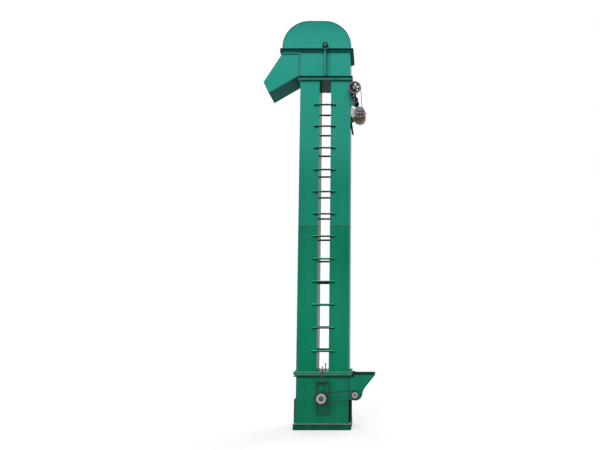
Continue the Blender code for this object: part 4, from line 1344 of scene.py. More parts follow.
@dataclass
class Head(SubAssembly):
    """The head casing with its joints to the spout and the legs."""

    rim_height: float = 0.029
    bolt: Bolt = Bolt(0.015, 0.006, 0.001)
    nut: Bolt = Bolt(0.016, 0.008, 0.0015, 0.005)
    pattern: BoltPattern = BoltPattern(inset=0.013, margin=0.050, count=9, side_count=4)
    post_clear: float = 0.03
    strip_width: float = 0.040
    strip_height: float = 0.003
    strip_gap: Pair = (0.004, 0.012)
    rivet: Bolt = Bolt(0.012, 0.005, 0.001)
    rivet_margin: float = 0.03
    rivets: int = 6
    post_half: float = 0.015
    post_pale: float = 0.009
    post_rise: float = 0.0008
    post_gap: float = 0.002
    post_joint: float = 0.0265
    # The bars of the lines over the legs' flange: a pale one, and one of painted shadow.
    seal: Collar = Collar(grown=0.0012, under=0.0024, over=0.0002, reach=0.003)

    def build(self) -> None:
        """Dresses the head casing and adds a dark skin of painted shade on its rim, cover strips, post faces
        of painted light, and over the legs' flange a pale line and a line of painted shadow.
        """
        self.dress(Finish.GREEN, "head_casing")
        self.dress(Finish.FLANGE, "legs_top_flange")
        self._rim()
        self._cover_strips()
        self._post_faces()
        self._joint_line()

    @property
    def bottom(self) -> float:
        """The height of the casing's underside."""
        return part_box("head_casing")[0].z

    def _rim(self) -> None:
        """A dark skin over the channel rim, painted shade of its recess, with the bolts through the flange.
        """
        edge = Footprint.of("legs_top_flange")
        top = self.bottom + self.rim_height + SKIN
        shape = Shape()
        shape.take_all(Footprint.of("legs_top_flange", SKIN).channel(self.bottom - SKIN, top, SKIN))
        self.bolt.seat(shape, self.pattern.spots(edge, edge.low.z), DOWN, 1)
        above = self.pattern.spots(edge, self.bottom + RIM_PLATE + SKIN)
        self.nut.seat(shape, [spot for spot in above if abs(spot.x) > self.post_clear], UP)
        self.finish(shape, "head_rim_skin", Slot.GREEN, [Finish.RIM, Finish.GREEN])

    def _cover_strips(self) -> None:
        """The strips over the joint between the head and the spout, with their rivets."""
        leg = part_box("left_leg")
        low = self.bottom + self.rim_height + self.strip_gap[0]
        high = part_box("hood")[0].z - self.strip_gap[1]
        middle = leg[0].x - self.strip_width / 2
        shape = Shape()
        for side in Side:
            face = side.ends(leg)[1]
            proud = face + side.value * self.strip_height
            shape.take(block((leg[0].x - self.strip_width, face, low), (leg[0].x, proud, high), 0.0008))
            start, end = low + self.rivet_margin, high - self.rivet_margin
            spots = along((middle, proud, start), (middle, proud, end), self.rivets)
            self.rivet.seat(shape, spots, side.outward, 1)
        self.finish(shape, "head_cover_strips", Slot.GREEN, [Finish.SEAM, Finish.FLANGE])

    def _post_faces(self) -> None:
        """Painted light on the posts that carry the bearings: a pale strip of painted highlight between dark
        edges of painted shade, and a dark piece of painted shade where the post crosses the hood's rim.
        """
        low = self.bottom + self.rim_height + self.post_gap
        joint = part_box("hood")[0].z - self.post_joint
        edges = (-self.post_half, -self.post_pale, self.post_pale, self.post_half)
        shape = Shape()
        for side in Side:
            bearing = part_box(f"head_bearing_{side.label}")
            face = side.ends(bearing)[1]
            proud = face + side.value * self.post_rise
            for left, right, number in zip(edges, edges[1:], (1, 0, 1)):
                shape.take(block((left, face, low), (right, proud, joint)), number)
            shape.take(block((edges[0], face, joint), (edges[3], proud, bearing[0].z - 0.0005)), 1)
        self.finish(shape, "head_post_faces", Slot.GREEN, [Finish.POST, Finish.RIM])

    def _joint_line(self) -> None:
        """A pale line over the legs' flange, and the dark line under it, painted shadow."""
        low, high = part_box("legs_top_flange")
        shape = Shape()
        # The lower line, in the dark rim paint, is painted shadow under the flange.
        for number, z in enumerate((high.z, low.z + 0.001)):
            shape.take_all(self.seal.bars("legs_top_flange", z), number)
        self.finish(shape, "head_joint_sealant", Slot.GREEN, [Finish.SEAM, Finish.RIM])


@dataclass
class Spout(SubAssembly):
    """The discharge spout with a dark strip of painted shadow under its band, and its welds."""

    band_height: float = 0.026
    gasket_height: float = 0.007
    gasket_reach: float = 0.008
    gasket_end: float = 0.040
    inset: float = 0.001
    spare: float = 0.01
    weld: float = 0.0035
    lip_rise: float = 0.142
    toe_reach: float = 0.080
    heel: Pair = (0.045, 0.037)

    def build(self) -> None:
        """Dresses the spout and adds the dark strip of painted shadow under its band and the beads of its
        sloping plates.
        """
        self.dress(Finish.GREEN, "discharge_spout")
        low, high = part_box("discharge_spout")
        leg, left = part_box("left_leg"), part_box("hood")[0].x + RIM_REACH
        top, inset = high.z - self.band_height, self.inset
        # A dark strip of painted shadow under the spout's band.
        bottom, right = top - self.gasket_height, leg[0].x - self.gasket_end
        plate = block((left - self.gasket_reach, low.y + inset, bottom), (right, high.y - inset, top))
        first = (left + inset, leg[0].y + inset, bottom - self.spare)
        gasket = Shape()
        gasket.take(carve(plate, block(first, (leg[0].x, leg[1].y - inset, top + self.spare))))
        self.finish(gasket, "spout_gasket", Slot.BELT, [Finish.GASKET])
        lip, toe = (low.x, low.z + self.lip_rise), (low.x + self.toe_reach, low.z)
        heel = (leg[0].x - self.heel[0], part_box("head_casing")[0].z + self.heel[1])
        welds = Shape()
        for y in (leg[0].y, leg[1].y):
            for start, end in (((left, top), lip), (toe, heel)):
                welds.take(rod(self.weld, (start[0], y, start[1]), (end[0], y, end[1]), 8))
        self.finish(welds, "spout_welds", Slot.GREEN, [Finish.GREEN])


@dataclass
class HeadShaft(SubAssembly):
    """The head shaft with its drum and its two pillow blocks."""

    radius: float = 0.022
    crown: float = 0.0015
    key: Triple = (0.004, 0.040, 0.0025)
    cap: Outline = ((0.0, -0.0006), (0.013, -0.0006), (0.014, 0.002), (0.0, 0.002))
    foot: float = 0.014
    waist: float = 0.36
    waist_inset: float = 0.006
    nut: Bolt = Bolt(0.013, 0.006, 0.001, 0.004)
    nut_inset: float = 0.010

    def build(self) -> None:
        """Builds the turning shaft and the two fixed bearings."""
        self._shaft()
        for side in Side:
            self._bearing(side)

    def _shaft(self) -> None:
        """The shaft with its centre hole, key and lagged drum."""
        box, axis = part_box("head_shaft"), self.axes[Joint.HEAD]
        ends = [(self.radius - 0.002, 0.0), (DRUM_RADIUS - 0.012, 0.0), (DRUM_RADIUS - 0.012, 0.004)]
        ends += [(DRUM_RADIUS - 0.008, 0.004), (DRUM_RADIUS - 0.008, 0.0), (DRUM_RADIUS - self.crown, 0.0)]
        front, back = shifted(ends, -DRUM_HALF), shifted(ends, DRUM_HALF, -1)
        half, length, rise = self.key
        top = axis.z + self.radius
        shape = Shape()
        shape.take(turned(shaft(self.radius, box, 0.0015, 0.004), axis, 40))
        shape.take(turned([*front, (DRUM_RADIUS, 0.0), *reversed(back)], axis, 48), 1)
        first = (axis.x - half, box[1].y - length, top - 0.003)
        shape.take(block(first, (axis.x + half, box[1].y - 0.001, top + rise), 0.0006))
        shape.take(turned(shifted(self.cap, box[0].y), axis, 32), 2)
        finishes = [Finish.CAST, Finish.BELTING, Finish.SHAFT_END]
        self.finish(shape, "head_shaft_turned", Slot.STEEL, finishes, Body.HEAD, ["head_shaft"])

    def _bearing(self, side: Side) -> None:
        """A pillow block: a round housing on a foot, with its inner ring, bolts and grease nipple.

        Args:
            side: The face that it is on.
        """
        name, axis = f"head_bearing_{side.label}", self.axes[Joint.HEAD]
        low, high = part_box(name)
        reach, thick, middle = (high.x - low.x) / 2, high.y - low.y, (low.y + high.y) / 2
        bore, face = self.radius + RUNNING_GAP, side.ends((low, high))[1]
        seat = bore + 0.010
        housing = [(seat, 0.003), (bore + 0.012, 0.0), (reach - 0.003, 0.0), (reach, 0.004)]
        housing += [(reach, thick - 0.004), (reach - 0.003, thick), (seat, thick), (seat, 0.003)]
        inner = [(bore, -0.001), (bore + 0.008, -0.001), (bore + 0.009, 0.006), (bore + 0.009, thick)]
        inner += [(bore, thick), (bore, -0.001)]
        shape = Shape()
        for number, profile in enumerate((housing, inner)):
            shape.take(turned(shifted(profile, face, -side.value), axis, 40), number)
        waist, foot, inset = 2 * reach * self.waist, low.z + self.foot, self.waist_inset
        shape.take(block(low, (high.x, high.y, foot), 0.002))
        first, last = (axis.x - waist, low.y + inset, low.z), (axis.x + waist, high.y - inset, axis.z)
        shape.take(block(first, last, 0.003))
        spots = [(x, middle, foot) for x in (low.x + self.nut_inset, high.x - self.nut_inset)]
        self.nut.seat(shape, spots, UP, 1)
        nipple = [(axis.x, middle, axis.z + reach + rise) for rise in (-0.003, 0.007)]
        shape.take(rod(0.0035, *nipple, 10, 0.001), 1)
        self.finish(shape, f"{name}_block", Slot.CAST, [Finish.CAST, Finish.DARK_STEEL], stands_for=[name])


@dataclass
class Legs(SubAssembly):
    """The two sheet legs with their seams and rungs."""

    seam_height: float = 2.647
    short_seam_height: float = 2.500
    short_seam_end: float = 0.05
    seam: Collar = Collar(grown=0.0012, under=0.0035, over=0.0035, reach=0.0024, bevel=0.0004)
    corner_weld: float = 0.002
    rung_radius: float = 0.0125
    rung_sides: int = 20
    weld: float = 0.0035
    weld_lift: float = 0.62
    weld_ends: Pair = (0.004, 0.006)

    def build(self) -> None:
        """Dresses the legs and adds seams, corner welds and rungs."""
        self.dress(Finish.GREEN, "left_leg", "right_leg", "legs_bottom_flange")
        self._seams()
        for side in Side:
            self._rungs(side)

    def _seams(self) -> None:
        """The welds round the legs where two lengths of sheet meet, and the beads up their corners."""
        seams, corners = Shape(), Shape()
        for name in ("left_leg", "right_leg"):
            low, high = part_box(name)
            seams.take_all(self.seam.bars(name, self.seam_height))
            for x in (low.x + 0.0005, high.x - 0.0005):
                for y in (low.y + 0.0005, high.y - 0.0005):
                    corners.take(rod(self.corner_weld, (x, y, low.z), (x, y, high.z), 8))
        low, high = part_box("left_leg")
        seam, z = self.seam, self.short_seam_height
        first = (low.x, low.y - seam.grown, z - seam.under)
        last = (high.x - self.short_seam_end, low.y + seam.grown, z + seam.over)
        seams.take(block(first, last, seam.bevel))
        self.finish(seams, "leg_seams", Slot.GREEN, [Finish.SEAM])
        self.finish(corners, "leg_corner_welds", Slot.GREEN, [Finish.GREEN])

    def _rungs(self, side: Side) -> None:
        """One face's rungs, with the beads that hold them.

        Args:
            side: The face.
        """
        names = sorted(name for name in packed_nodes() if name.startswith(f"{side.label}_rung"))
        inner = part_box("right_leg")[0].x + self.weld_ends[0]
        y = side.ends(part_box("left_leg"))[1] + side.value * self.weld / 2
        shape = Shape()
        for name in names:
            low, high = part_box(name)
            middle = (low + high) / 2
            start, end = (low.x, middle.y, middle.z), (high.x, middle.y, middle.z)
            shape.take(rod(self.rung_radius, start, end, self.rung_sides, 0.0015))
            for sign in (-1, 1):
                for lift in (-self.weld_lift, self.weld_lift):
                    z = middle.z + lift * self.rung_radius
                    outer = sign * (high.x - self.weld_ends[1])
                    shape.take(rod(self.weld, (sign * inner, y, z), (outer, y, z), 8))
        # The back rungs take near-black painted shade.
        finish = Finish.RUNG if side is Side.FRONT else Finish.BACK_RUNG
        self.finish(shape, f"{side.label}_rungs", Slot.GREEN, [finish], stands_for=names)


@dataclass
class Boot(SubAssembly):
    """The boot with its base, covers, flange joints and take-ups."""

    shaft_radius: float = 0.020
    rim_height: float = 0.0247
    # The bars of the pale lines of painted highlight along the boot's flange.
    seal: Collar = Collar(grown=0.0015, under=0.0035, over=0.0010, reach=0.004, bevel=0.0004)
    bolt: Bolt = Bolt(0.016, 0.007, 0.0012)
    pattern: BoltPattern = BoltPattern(inset=0.015, margin=0.050, count=9, side_count=4)
    corner_bead: float = 0.0035
    corner_bead_gaps: Pair = (0.006, 0.028)
    wall_bead: float = 0.003
    wall_bead_start: float = 0.095
    wall_bead_rise: float = 0.012
    wall_bead_proud: float = 0.0012
    foot: Collar = Collar(grown=0.002, under=-0.0003, over=0.006, reach=0.030, bevel=0.0008)
    foot_joint: Collar = Collar(grown=0.0008, under=0.008, over=0.0002, reach=0.003)
    foot_nut: Bolt = Bolt(0.019, 0.009, 0.002, 0.006)
    foot_pattern: BoltPattern = BoltPattern(inset=0.014, margin=0.060, count=5)
    cover_insets: tuple[Pair, ...] = ((0.022, 0.0), (0.004, -0.006))
    cover_bolt: Bolt = Bolt(0.012, 0.003, 0.0008)
    cover_margins: Pair = (0.011, 0.030)
    handle: float = 0.003
    handle_half: float = 0.05
    handle_sink: float = 0.008
    handle_rise: float = 0.001
    guide_bolt: Bolt = Bolt(0.011, 0.005, 0.001)
    guide_depth: float = 0.0217
    guide_middle: float = 0.009
    guide_margins: Pair = (0.035, 0.060)
    slide: float = 0.008
    housing_end: float = 0.044
    housing_radius: float = 0.052
    housing_bolt: Bolt = Bolt(0.013, 0.006, 0.001)
    housing_circle: float = 0.060
    lug_half: float = 0.020
    thread_pitch: float = 0.003
    screw_radius: float = 0.008
    screw_bare: float = 0.735
    screw_end: float = 0.020
    square_half: float = 0.006
    screw_nut: Bolt = Bolt(0.024, 0.012, 0.002)
    screw_nut_drop: float = 0.0123
    jam_nut: Bolt = Bolt(0.024, 0.012, 0.001)
    jam_nut_drop: float = 0.014

    def build(self) -> None:
        """Dresses the boot's nodes and builds what stands on them."""
        self.dress(Finish.GREEN, "base_frame", "boot_casing")
        self.dress(Finish.GUIDE, "takeup_frame_front", "takeup_frame_back")
        self._joints()
        self._foot_plate()
        self._wall_lines()
        self._cover("boot_cover_left", -1, Finish.LEFT_COVER)
        # The right cover takes near-black painted shade.
        self._cover("boot_cover_right", 1, Finish.RIGHT_COVER)
        for side in Side:
            self._guides(side)
            self._bearing(side)
            self._screw(side)

    def _joints(self) -> None:
        """Pale lines of painted highlight along the flange's edges, bolts, and a dark skin of painted shade
        over the channel rim, at the joint between the boot and the legs.
        """
        flange, top = "legs_bottom_flange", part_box("boot_casing")[1].z
        edge, bottom = Footprint.of(flange), top - self.rim_height - SKIN
        sealant, bolts, rim = Shape(), Shape(), Shape()
        for z in (edge.low.z, edge.high.z):
            sealant.take_all(self.seal.bars(flange, z))
        self.bolt.seat(bolts, self.pattern.spots(edge, edge.high.z), UP)
        free = edge.high.x - 2 * self.pattern.inset
        self.bolt.seat(bolts, [spot for spot in self.pattern.spots(edge, bottom) if spot.x < free], DOWN, 1)
        for number, bar in enumerate(Footprint.of(flange, SKIN).channel(bottom, top, SKIN)):
            if number % 4 == 3:  # The right bar of each ring, where the hopper joins the boot.
                bar.free()
            else:
                rim.take(bar)
        self.finish(sealant, "boot_joint_sealant", Slot.GREEN, [Finish.SEALANT])
        self.finish(bolts, "boot_flange_bolts", Slot.GREEN, [Finish.GREEN, Finish.RIM])
        self.finish(rim, "boot_rim_skin", Slot.GREEN, [Finish.RIM])

    def _wall_lines(self) -> None:
        """The lines on the boot's wall: its corner welds beside the hopper and the stiffening bead."""
        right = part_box("right_leg")[1].x
        start, end = self.corner_bead_gaps
        low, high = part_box("base_frame")[1].z + start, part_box("legs_bottom_flange")[0].z - end
        z = (self.axes[Joint.FEEDER].z + self.axes[Joint.TAIL].z) / 2
        shape = Shape()
        for side in Side:
            y = side.ends(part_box("left_leg"))[1]
            proud = y + side.value * self.wall_bead_proud
            first, last = (self.wall_bead_start, proud, z), (right - 0.006, proud, z + self.wall_bead_rise)
            # The corner beads take the dark rim paint: painted shade along the corner beside the hopper.
            shape.take(rod(self.corner_bead, (right - 0.001, y, low), (right - 0.001, y, high), 8))
            shape.take(rod(self.wall_bead, first, last, 8), 1)
        self.finish(shape, "boot_wall_lines", Slot.GREEN, [Finish.RIM, Finish.SEAM])

    def _foot_plate(self) -> None:
        """The flat frame under the boot, pale as painted highlight of its edge, the dark painted shadow
        under it and on the base's right end, and its bolts to the base.
        """
        low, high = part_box("base_frame")
        plates, joint = Shape(), Shape()
        plates.take_all(self.foot.bars("base_frame", high.z))
        spots = self.foot_pattern.spots(Footprint.of("base_frame"), high.z + self.foot.over)
        self.foot_nut.seat(plates, spots, UP, 1)
        # A dark plate on the base's right end: painted shade of its open channel.
        end = (high.x, low.y + 0.003, low.z + 0.004), (high.x + 0.0012, high.y - 0.003, high.z - 0.004)
        joint.take(block(*end, 0.0003))
        joint.take_all(self.foot_joint.bars("base_frame", high.z))
        self.finish(plates, "boot_foot_plate", Slot.GREEN, [Finish.SEALANT, Finish.GREEN])
        self.finish(joint, "boot_foot_joint", Slot.BELT, [Finish.GASKET])

    def _cover(self, node: str, side: int, finish: Finish) -> None:
        """A pressed clean-out cover with its flange, handle and bolts.

        Args:
            node: The node that it stands for.
            side: The sign of X of its face.
            finish: Its paint.
        """
        low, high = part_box(node)
        face, middle = (high.x if side > 0 else low.x), (low.z + high.z) / 2
        pan = block(low, high, 0.002)
        outer = [part for part in pan.faces if part.normal.x * side > 0.99]
        for thickness, depth in self.cover_insets:
            bmesh.ops.inset_region(pan, faces=outer, thickness=thickness, depth=depth)
        shape = Shape()
        shape.take(pan)
        across, up = self.cover_margins
        for y in (low.y + across, high.y - across):
            spots = along((face, y, low.z + up), (face, y, high.z - up), 4)
            self.cover_bolt.seat(shape, spots, (side, 0.0, 0.0), 1)
        seat, grip = face - side * self.handle_sink, face + side * self.handle_rise
        half = self.handle_half
        for y in (-half, half):
            shape.take(rod(self.handle, (seat, y, middle), (grip, y, middle), 10), 1)
        shape.take(rod(self.handle, (grip, -half, middle), (grip, half, middle), 10), 1)
        self.finish(shape, f"{node}_pressed", Slot.GREEN, [finish, Finish.DARK_STEEL], stands_for=[node])

    def _guides(self, side: Side) -> None:
        """The bolts on a take-up's guides.

        Args:
            side: The face that it is on.
        """
        low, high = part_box(f"takeup_frame_{side.label}")
        face = side.ends((low, high))[1] - side.value * self.guide_depth
        start, end = self.guide_margins
        shape = Shape()
        for x in (low.x + self.guide_middle, high.x - self.guide_middle):
            spots = along((x, face, low.z + start), (x, face, high.z - end), 4)
            self.guide_bolt.seat(shape, spots, side.outward)
        self.finish(shape, f"takeup_bolts_{side.label}", Slot.GREEN, [Finish.GUIDE])

    def _bearing(self, side: Side) -> None:
        """The tail bearing in its sliding plate.

        Args:
            side: The face that it is on.
        """
        name, axis = f"tail_bearing_{side.label}", self.axes[Joint.TAIL]
        low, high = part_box(name)
        wall, face = side.ends((low, high))
        plate, bore = wall + side.value * self.slide, self.shaft_radius + RUNNING_GAP
        end, reach, seat = self.housing_end - self.slide, self.housing_radius, bore + 0.008
        housing = [(seat, 0.0), (reach, 0.0), (reach, 0.012), (reach - 0.010, 0.016)]
        housing += [(reach - 0.012, end - 0.003), (reach - 0.015, end), (seat, end), (seat, 0.0)]
        corners = [(low.x, low.z), (high.x, low.z), (high.x, high.z), (low.x, high.z)]
        slide = extruded(corners, wall, plate, 0.001)
        centre = (axis.x, (wall + plate) / 2, axis.z)
        shape = Shape()
        shape.take(carve(slide, cross_rod(self.shaft_radius + 0.004, centre, 0.014, 32)), 2)
        for number, profile in enumerate((housing, ring(bore, bore + 0.007, 0.0, end + 0.003))):
            shape.take(turned(shifted(profile, plate, side.value), axis, 40), number)
        spots = circle(axis, self.housing_circle, angles(4, 0.5), plate)
        self.housing_bolt.seat(shape, spots, side.outward, 1)
        first = (axis.x - self.lug_half, plate - side.value * 0.002, high.z - 0.024)
        shape.take(block(first, (axis.x + self.lug_half, face, high.z), 0.002), 2)
        finishes = [Finish.CAST, Finish.DARK_STEEL, Finish.GREEN]
        self.finish(shape, f"{name}_block", Slot.CAST, finishes, stands_for=[name])

    def _screw(self, side: Side) -> None:
        """The take-up screw with its thread, nuts and square end.

        Args:
            side: The face that it is on.
        """
        name, frame_top = f"takeup_screw_{side.label}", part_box(f"takeup_frame_{side.label}")[1].z
        low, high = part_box(name)
        x, y = (low.x + high.x) / 2, (low.y + high.y) / 2
        root, turns = self.screw_radius - 0.0015, int((high.z - self.screw_end - low.z) / self.thread_pitch)
        top = low.z + turns * self.thread_pitch
        profile = [(0.0, low.z)]
        for turn in range(turns):
            start = low.z + turn * self.thread_pitch
            profile += [(root, start), (self.screw_radius, start + self.thread_pitch / 2)]
        thread = turned([*profile, (root, top), (0.0, top)], Vector(), 16)
        for face in thread.faces:
            face.material_index = 2 if face.calc_center_median().y > self.screw_bare else 0
        shape = Shape()
        shape.take(thread, None, Matrix.Translation((x, y, 0.0)) @ Matrix.Rotation(math.pi / 2, 4, "X"))
        half = self.square_half
        shape.take(block((x - half, y - half, top - 0.002), (x + half, y + half, high.z), 0.0012), 2)
        self.jam_nut.seat(shape, [(x, y, high.z - self.jam_nut_drop)], UP, 2)
        self.screw_nut.seat(shape, [(x, y, frame_top)], UP)
        self.screw_nut.seat(shape, [(x, y, frame_top - self.screw_nut_drop)], DOWN, 1)
        finishes = [Finish.SCREW, Finish.GASKET, Finish.ZINC]
        self.finish(shape, f"{name}_threaded", Slot.STEEL, finishes, stands_for=[name])


@dataclass
class Inlet(SubAssembly):
    """The inlet hopper, its feeder and the small belt that turns it."""

    rim: float = 0.004
    rim_inset: float = 0.0015
    rim_start: float = 0.034
    lug_end: float = 0.070
    lug_rise: float = 0.005
    lug_bolt: Bolt = Bolt(0.012, 0.006, 0.001)
    knee: Pair = (0.141, 0.173)
    liner: float = 0.0015
    shaft_radius: float = 0.0125
    bolt: Bolt = Bolt(0.010, 0.005, 0.0008)
    bolt_circle: float = 0.029
    bolt_share: float = 0.75 / math.pi
    core_radius: float = 0.028
    vane_radius: float = 0.079
    vane_half: float = 0.002
    vane_gap: float = 0.009
    vanes: int = 6
    tail_radius: float = 0.020
    slats: int = 16
    slat_half: float = 0.012
    tail_pulley: Pulley = Pulley(groove=0.068, width=0.028, belt=0.018, hub=0.026, rim=0.030)
    feeder_pulley: Pulley = Pulley(groove=0.044, width=0.028, belt=0.018, hub=0.018, rim=0.022)
    pulley_inset: float = 0.006
    dark_lip: float = 0.0065

    def build(self) -> None:
        """Dresses the hopper and builds its rim, the painted shade inside it, its feeder, pulleys and belt.
        """
        self.dress(Finish.GREEN, "inlet_hopper")
        self._rim()
        self._liner()
        for side in Side:
            self._bearing(side)
        self._feeder()
        self._tail_shaft()
        ends = (Joint.TAIL, self.tail_pulley.groove), (Joint.FEEDER, self.feeder_pulley.groove)
        self.v_belt("feeder_v_belt", "feeder_belt", self.tail_pulley.belt, ends)

    def _rim(self) -> None:
        """The round bar folded into the hopper's upper edge, with the lugs that hold it to the flange."""
        low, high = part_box("inlet_hopper")
        top, left, right = high.z - self.rim_inset, low.x + self.rim_start, high.x - 0.002
        shape = Shape()
        for side in Side:
            face = side.ends((low, high))[1]
            y, proud = face - side.value * self.rim_inset, face + side.value * self.lug_rise
            shape.take(rod(self.rim, (left, y, top), (right, y, top), 10))
            lug_end = (low.x + self.lug_end, proud, high.z + 0.012)
            shape.take(block((left, face, high.z - 0.030), lug_end, 0.001))
            spots = [(x, proud, high.z - 0.012) for x in (low.x + 0.044, low.x + 0.060)]
            self.lug_bolt.seat(shape, spots, side.outward, 1)
        first, last = (right, low.y + self.rim_inset, top), (right, high.y - self.rim_inset, top)
        shape.take(rod(self.rim, first, last, 10))
        # The bar and its lugs take the dark rim paint: painted shade along the hopper's upper edge.
        self.finish(shape, "hopper_rim_bar", Slot.GREEN, [Finish.RIM, Finish.GASKET])

    def _liner(self) -> None:
        """Painted shade inside the hopper: thin dark plates on its back, front and sloping walls."""
        low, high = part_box("inlet_hopper")
        knee = Vector((high.x - self.knee[0], 0.0, high.z - self.knee[1]))
        left, top = low.x + 0.036, high.z - 0.006
        outline = [(left, top), (high.x - 0.014, top), (knee.x - 0.009, knee.z), (left, knee.z)]
        shape = Shape()
        for near in (low.y + 0.0032, high.y - 0.0047):
            shape.take(extruded(outline, near, near + self.liner))
        run = Vector((high.x, 0.0, high.z)) - knee
        inward = Vector((-run.z, 0.0, run.x)).normalized() * self.liner
        first, last = knee + inward * 3, knee + run * 0.97 + inward * 3
        corners = (first, last, last + inward, first + inward)
        shape.take(extruded([(corner.x, corner.z) for corner in corners], low.y + 0.004, high.y - 0.004))
        self.finish(shape, "hopper_liner", Slot.GREEN, [Finish.LINER])

    def _bearing(self, side: Side) -> None:
        """A flanged bearing of the feeder.

        Args:
            side: The face that it is on.
        """
        name, axis, way = f"feeder_bearing_{side.label}", self.axes[Joint.FEEDER], side.value
        low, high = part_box(name)
        wall, face = side.ends((low, high))
        reach, bore, flange = (high.x - low.x) / 2, self.shaft_radius + RUNNING_GAP, wall + way * 0.008
        profile = [(bore, wall), (reach, wall), (reach, flange), (reach - 0.012, wall + way * 0.012)]
        profile += [(reach - 0.014, face - way * 0.002), (reach - 0.016, face), (bore, face), (bore, wall)]
        shape = Shape()
        shape.take(turned(profile, axis, 36))
        spots = circle(axis, self.bolt_circle, angles(3, self.bolt_share), flange)
        self.bolt.seat(shape, spots, side.outward, 1)
        self.finish(shape, f"{name}_flanged", Slot.CAST, [Finish.CAST, Finish.ZINC], stands_for=[name])

    def _pulley(self, shape: Shape, axis: Vector, sizes: Pulley, bore: float, face: float) -> None:
        """A pulley with a pale rim, a web of another finish, a hub, and a dark outer lip and groove in the
        belt's rubber colour, painted shade of the groove.

        Args:
            shape: The shape that takes it.
            axis: The joint's place.
            sizes: The pulley's sizes.
            bore: Its shaft's radius.
            face: The y of its front face.
        """
        wheel = turned(sizes.profile(bore, face + sizes.width / 2), axis, 56)
        # Outside this radius the faces take the belt's dark rubber colour: painted shade of the groove.
        lip = sizes.groove - self.dark_lip
        bands = ((sizes.hub, 3), (sizes.web_radius - 0.0002, 2), (lip, 1), (1.0, 4))
        shape.take(number_by_radius(wheel, axis, bands), None)
        shape.take(turned(ring(lip, sizes.groove + 0.003, face - SKIN, face + 0.001), axis, 56), 4)

    def _feeder(self) -> None:
        """The vaned feeder with its pulley."""
        box, axis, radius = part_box("feeder_rotor"), self.axes[Joint.FEEDER], self.shaft_radius
        face, half = box[0].y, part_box("inlet_hopper")[1].y - self.vane_gap
        root, thick = self.core_radius - 0.004, self.vane_half
        shape = Shape()
        shape.take(turned(shaft(radius, box, 0.001), axis, 28))
        shape.take(turned(plug(self.core_radius, -half, half), axis, 28))
        for angle in angles(self.vanes):
            vane = block((root, -half, -thick), (self.vane_radius, half, thick), 0.0006)
            shape.take(vane, 0, about(axis, angle))
        shape.take(turned(plug(radius - 0.001, face - 0.0005, face + 0.001), axis, 28), 5)
        self._pulley(shape, axis, self.feeder_pulley, radius, face + self.pulley_inset)
        finishes = [Finish.STEEL, Finish.TAIL_METAL, Finish.TAIL_WEB]
        finishes += [Finish.GASKET, Finish.BELT, Finish.ZINC]
        self.finish(shape, "feeder_turned", Slot.STEEL, finishes, Body.FEEDER, ["feeder_rotor"])

    def _tail_shaft(self) -> None:
        """The tail shaft with its slatted drum and the feeder's drive pulley."""
        box, axis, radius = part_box("tail_shaft"), self.axes[Joint.TAIL], self.tail_radius
        face = box[0].y
        shape = Shape()
        shape.take(turned(shaft(radius, box, 0.0015, 0.003), axis, 36))
        for y in (-DRUM_HALF, DRUM_HALF - 0.006):
            shape.take(turned(ring(radius - 0.002, DRUM_RADIUS - 0.008, y, y + 0.006), axis, 40))
        inner, outer, half = DRUM_RADIUS - 0.012, DRUM_RADIUS - 0.0008, self.slat_half
        for angle in angles(self.slats):
            slat = block((inner, -DRUM_HALF, -half), (outer, DRUM_HALF, half), 0.002)
            shape.take(slat, 0, about(axis, angle))
        shape.take(turned(plug(radius - 0.002, face - 0.0005, face + 0.001), axis, 36), 3)
        self._pulley(shape, axis, self.tail_pulley, radius, face + self.pulley_inset)
        finishes = [Finish.STEEL, Finish.TAIL_METAL, Finish.TAIL_WEB, Finish.HUB_GREEN, Finish.BELT]
        self.finish(shape, "tail_shaft_turned", Slot.STEEL, finishes, Body.TAIL, ["tail_shaft"])


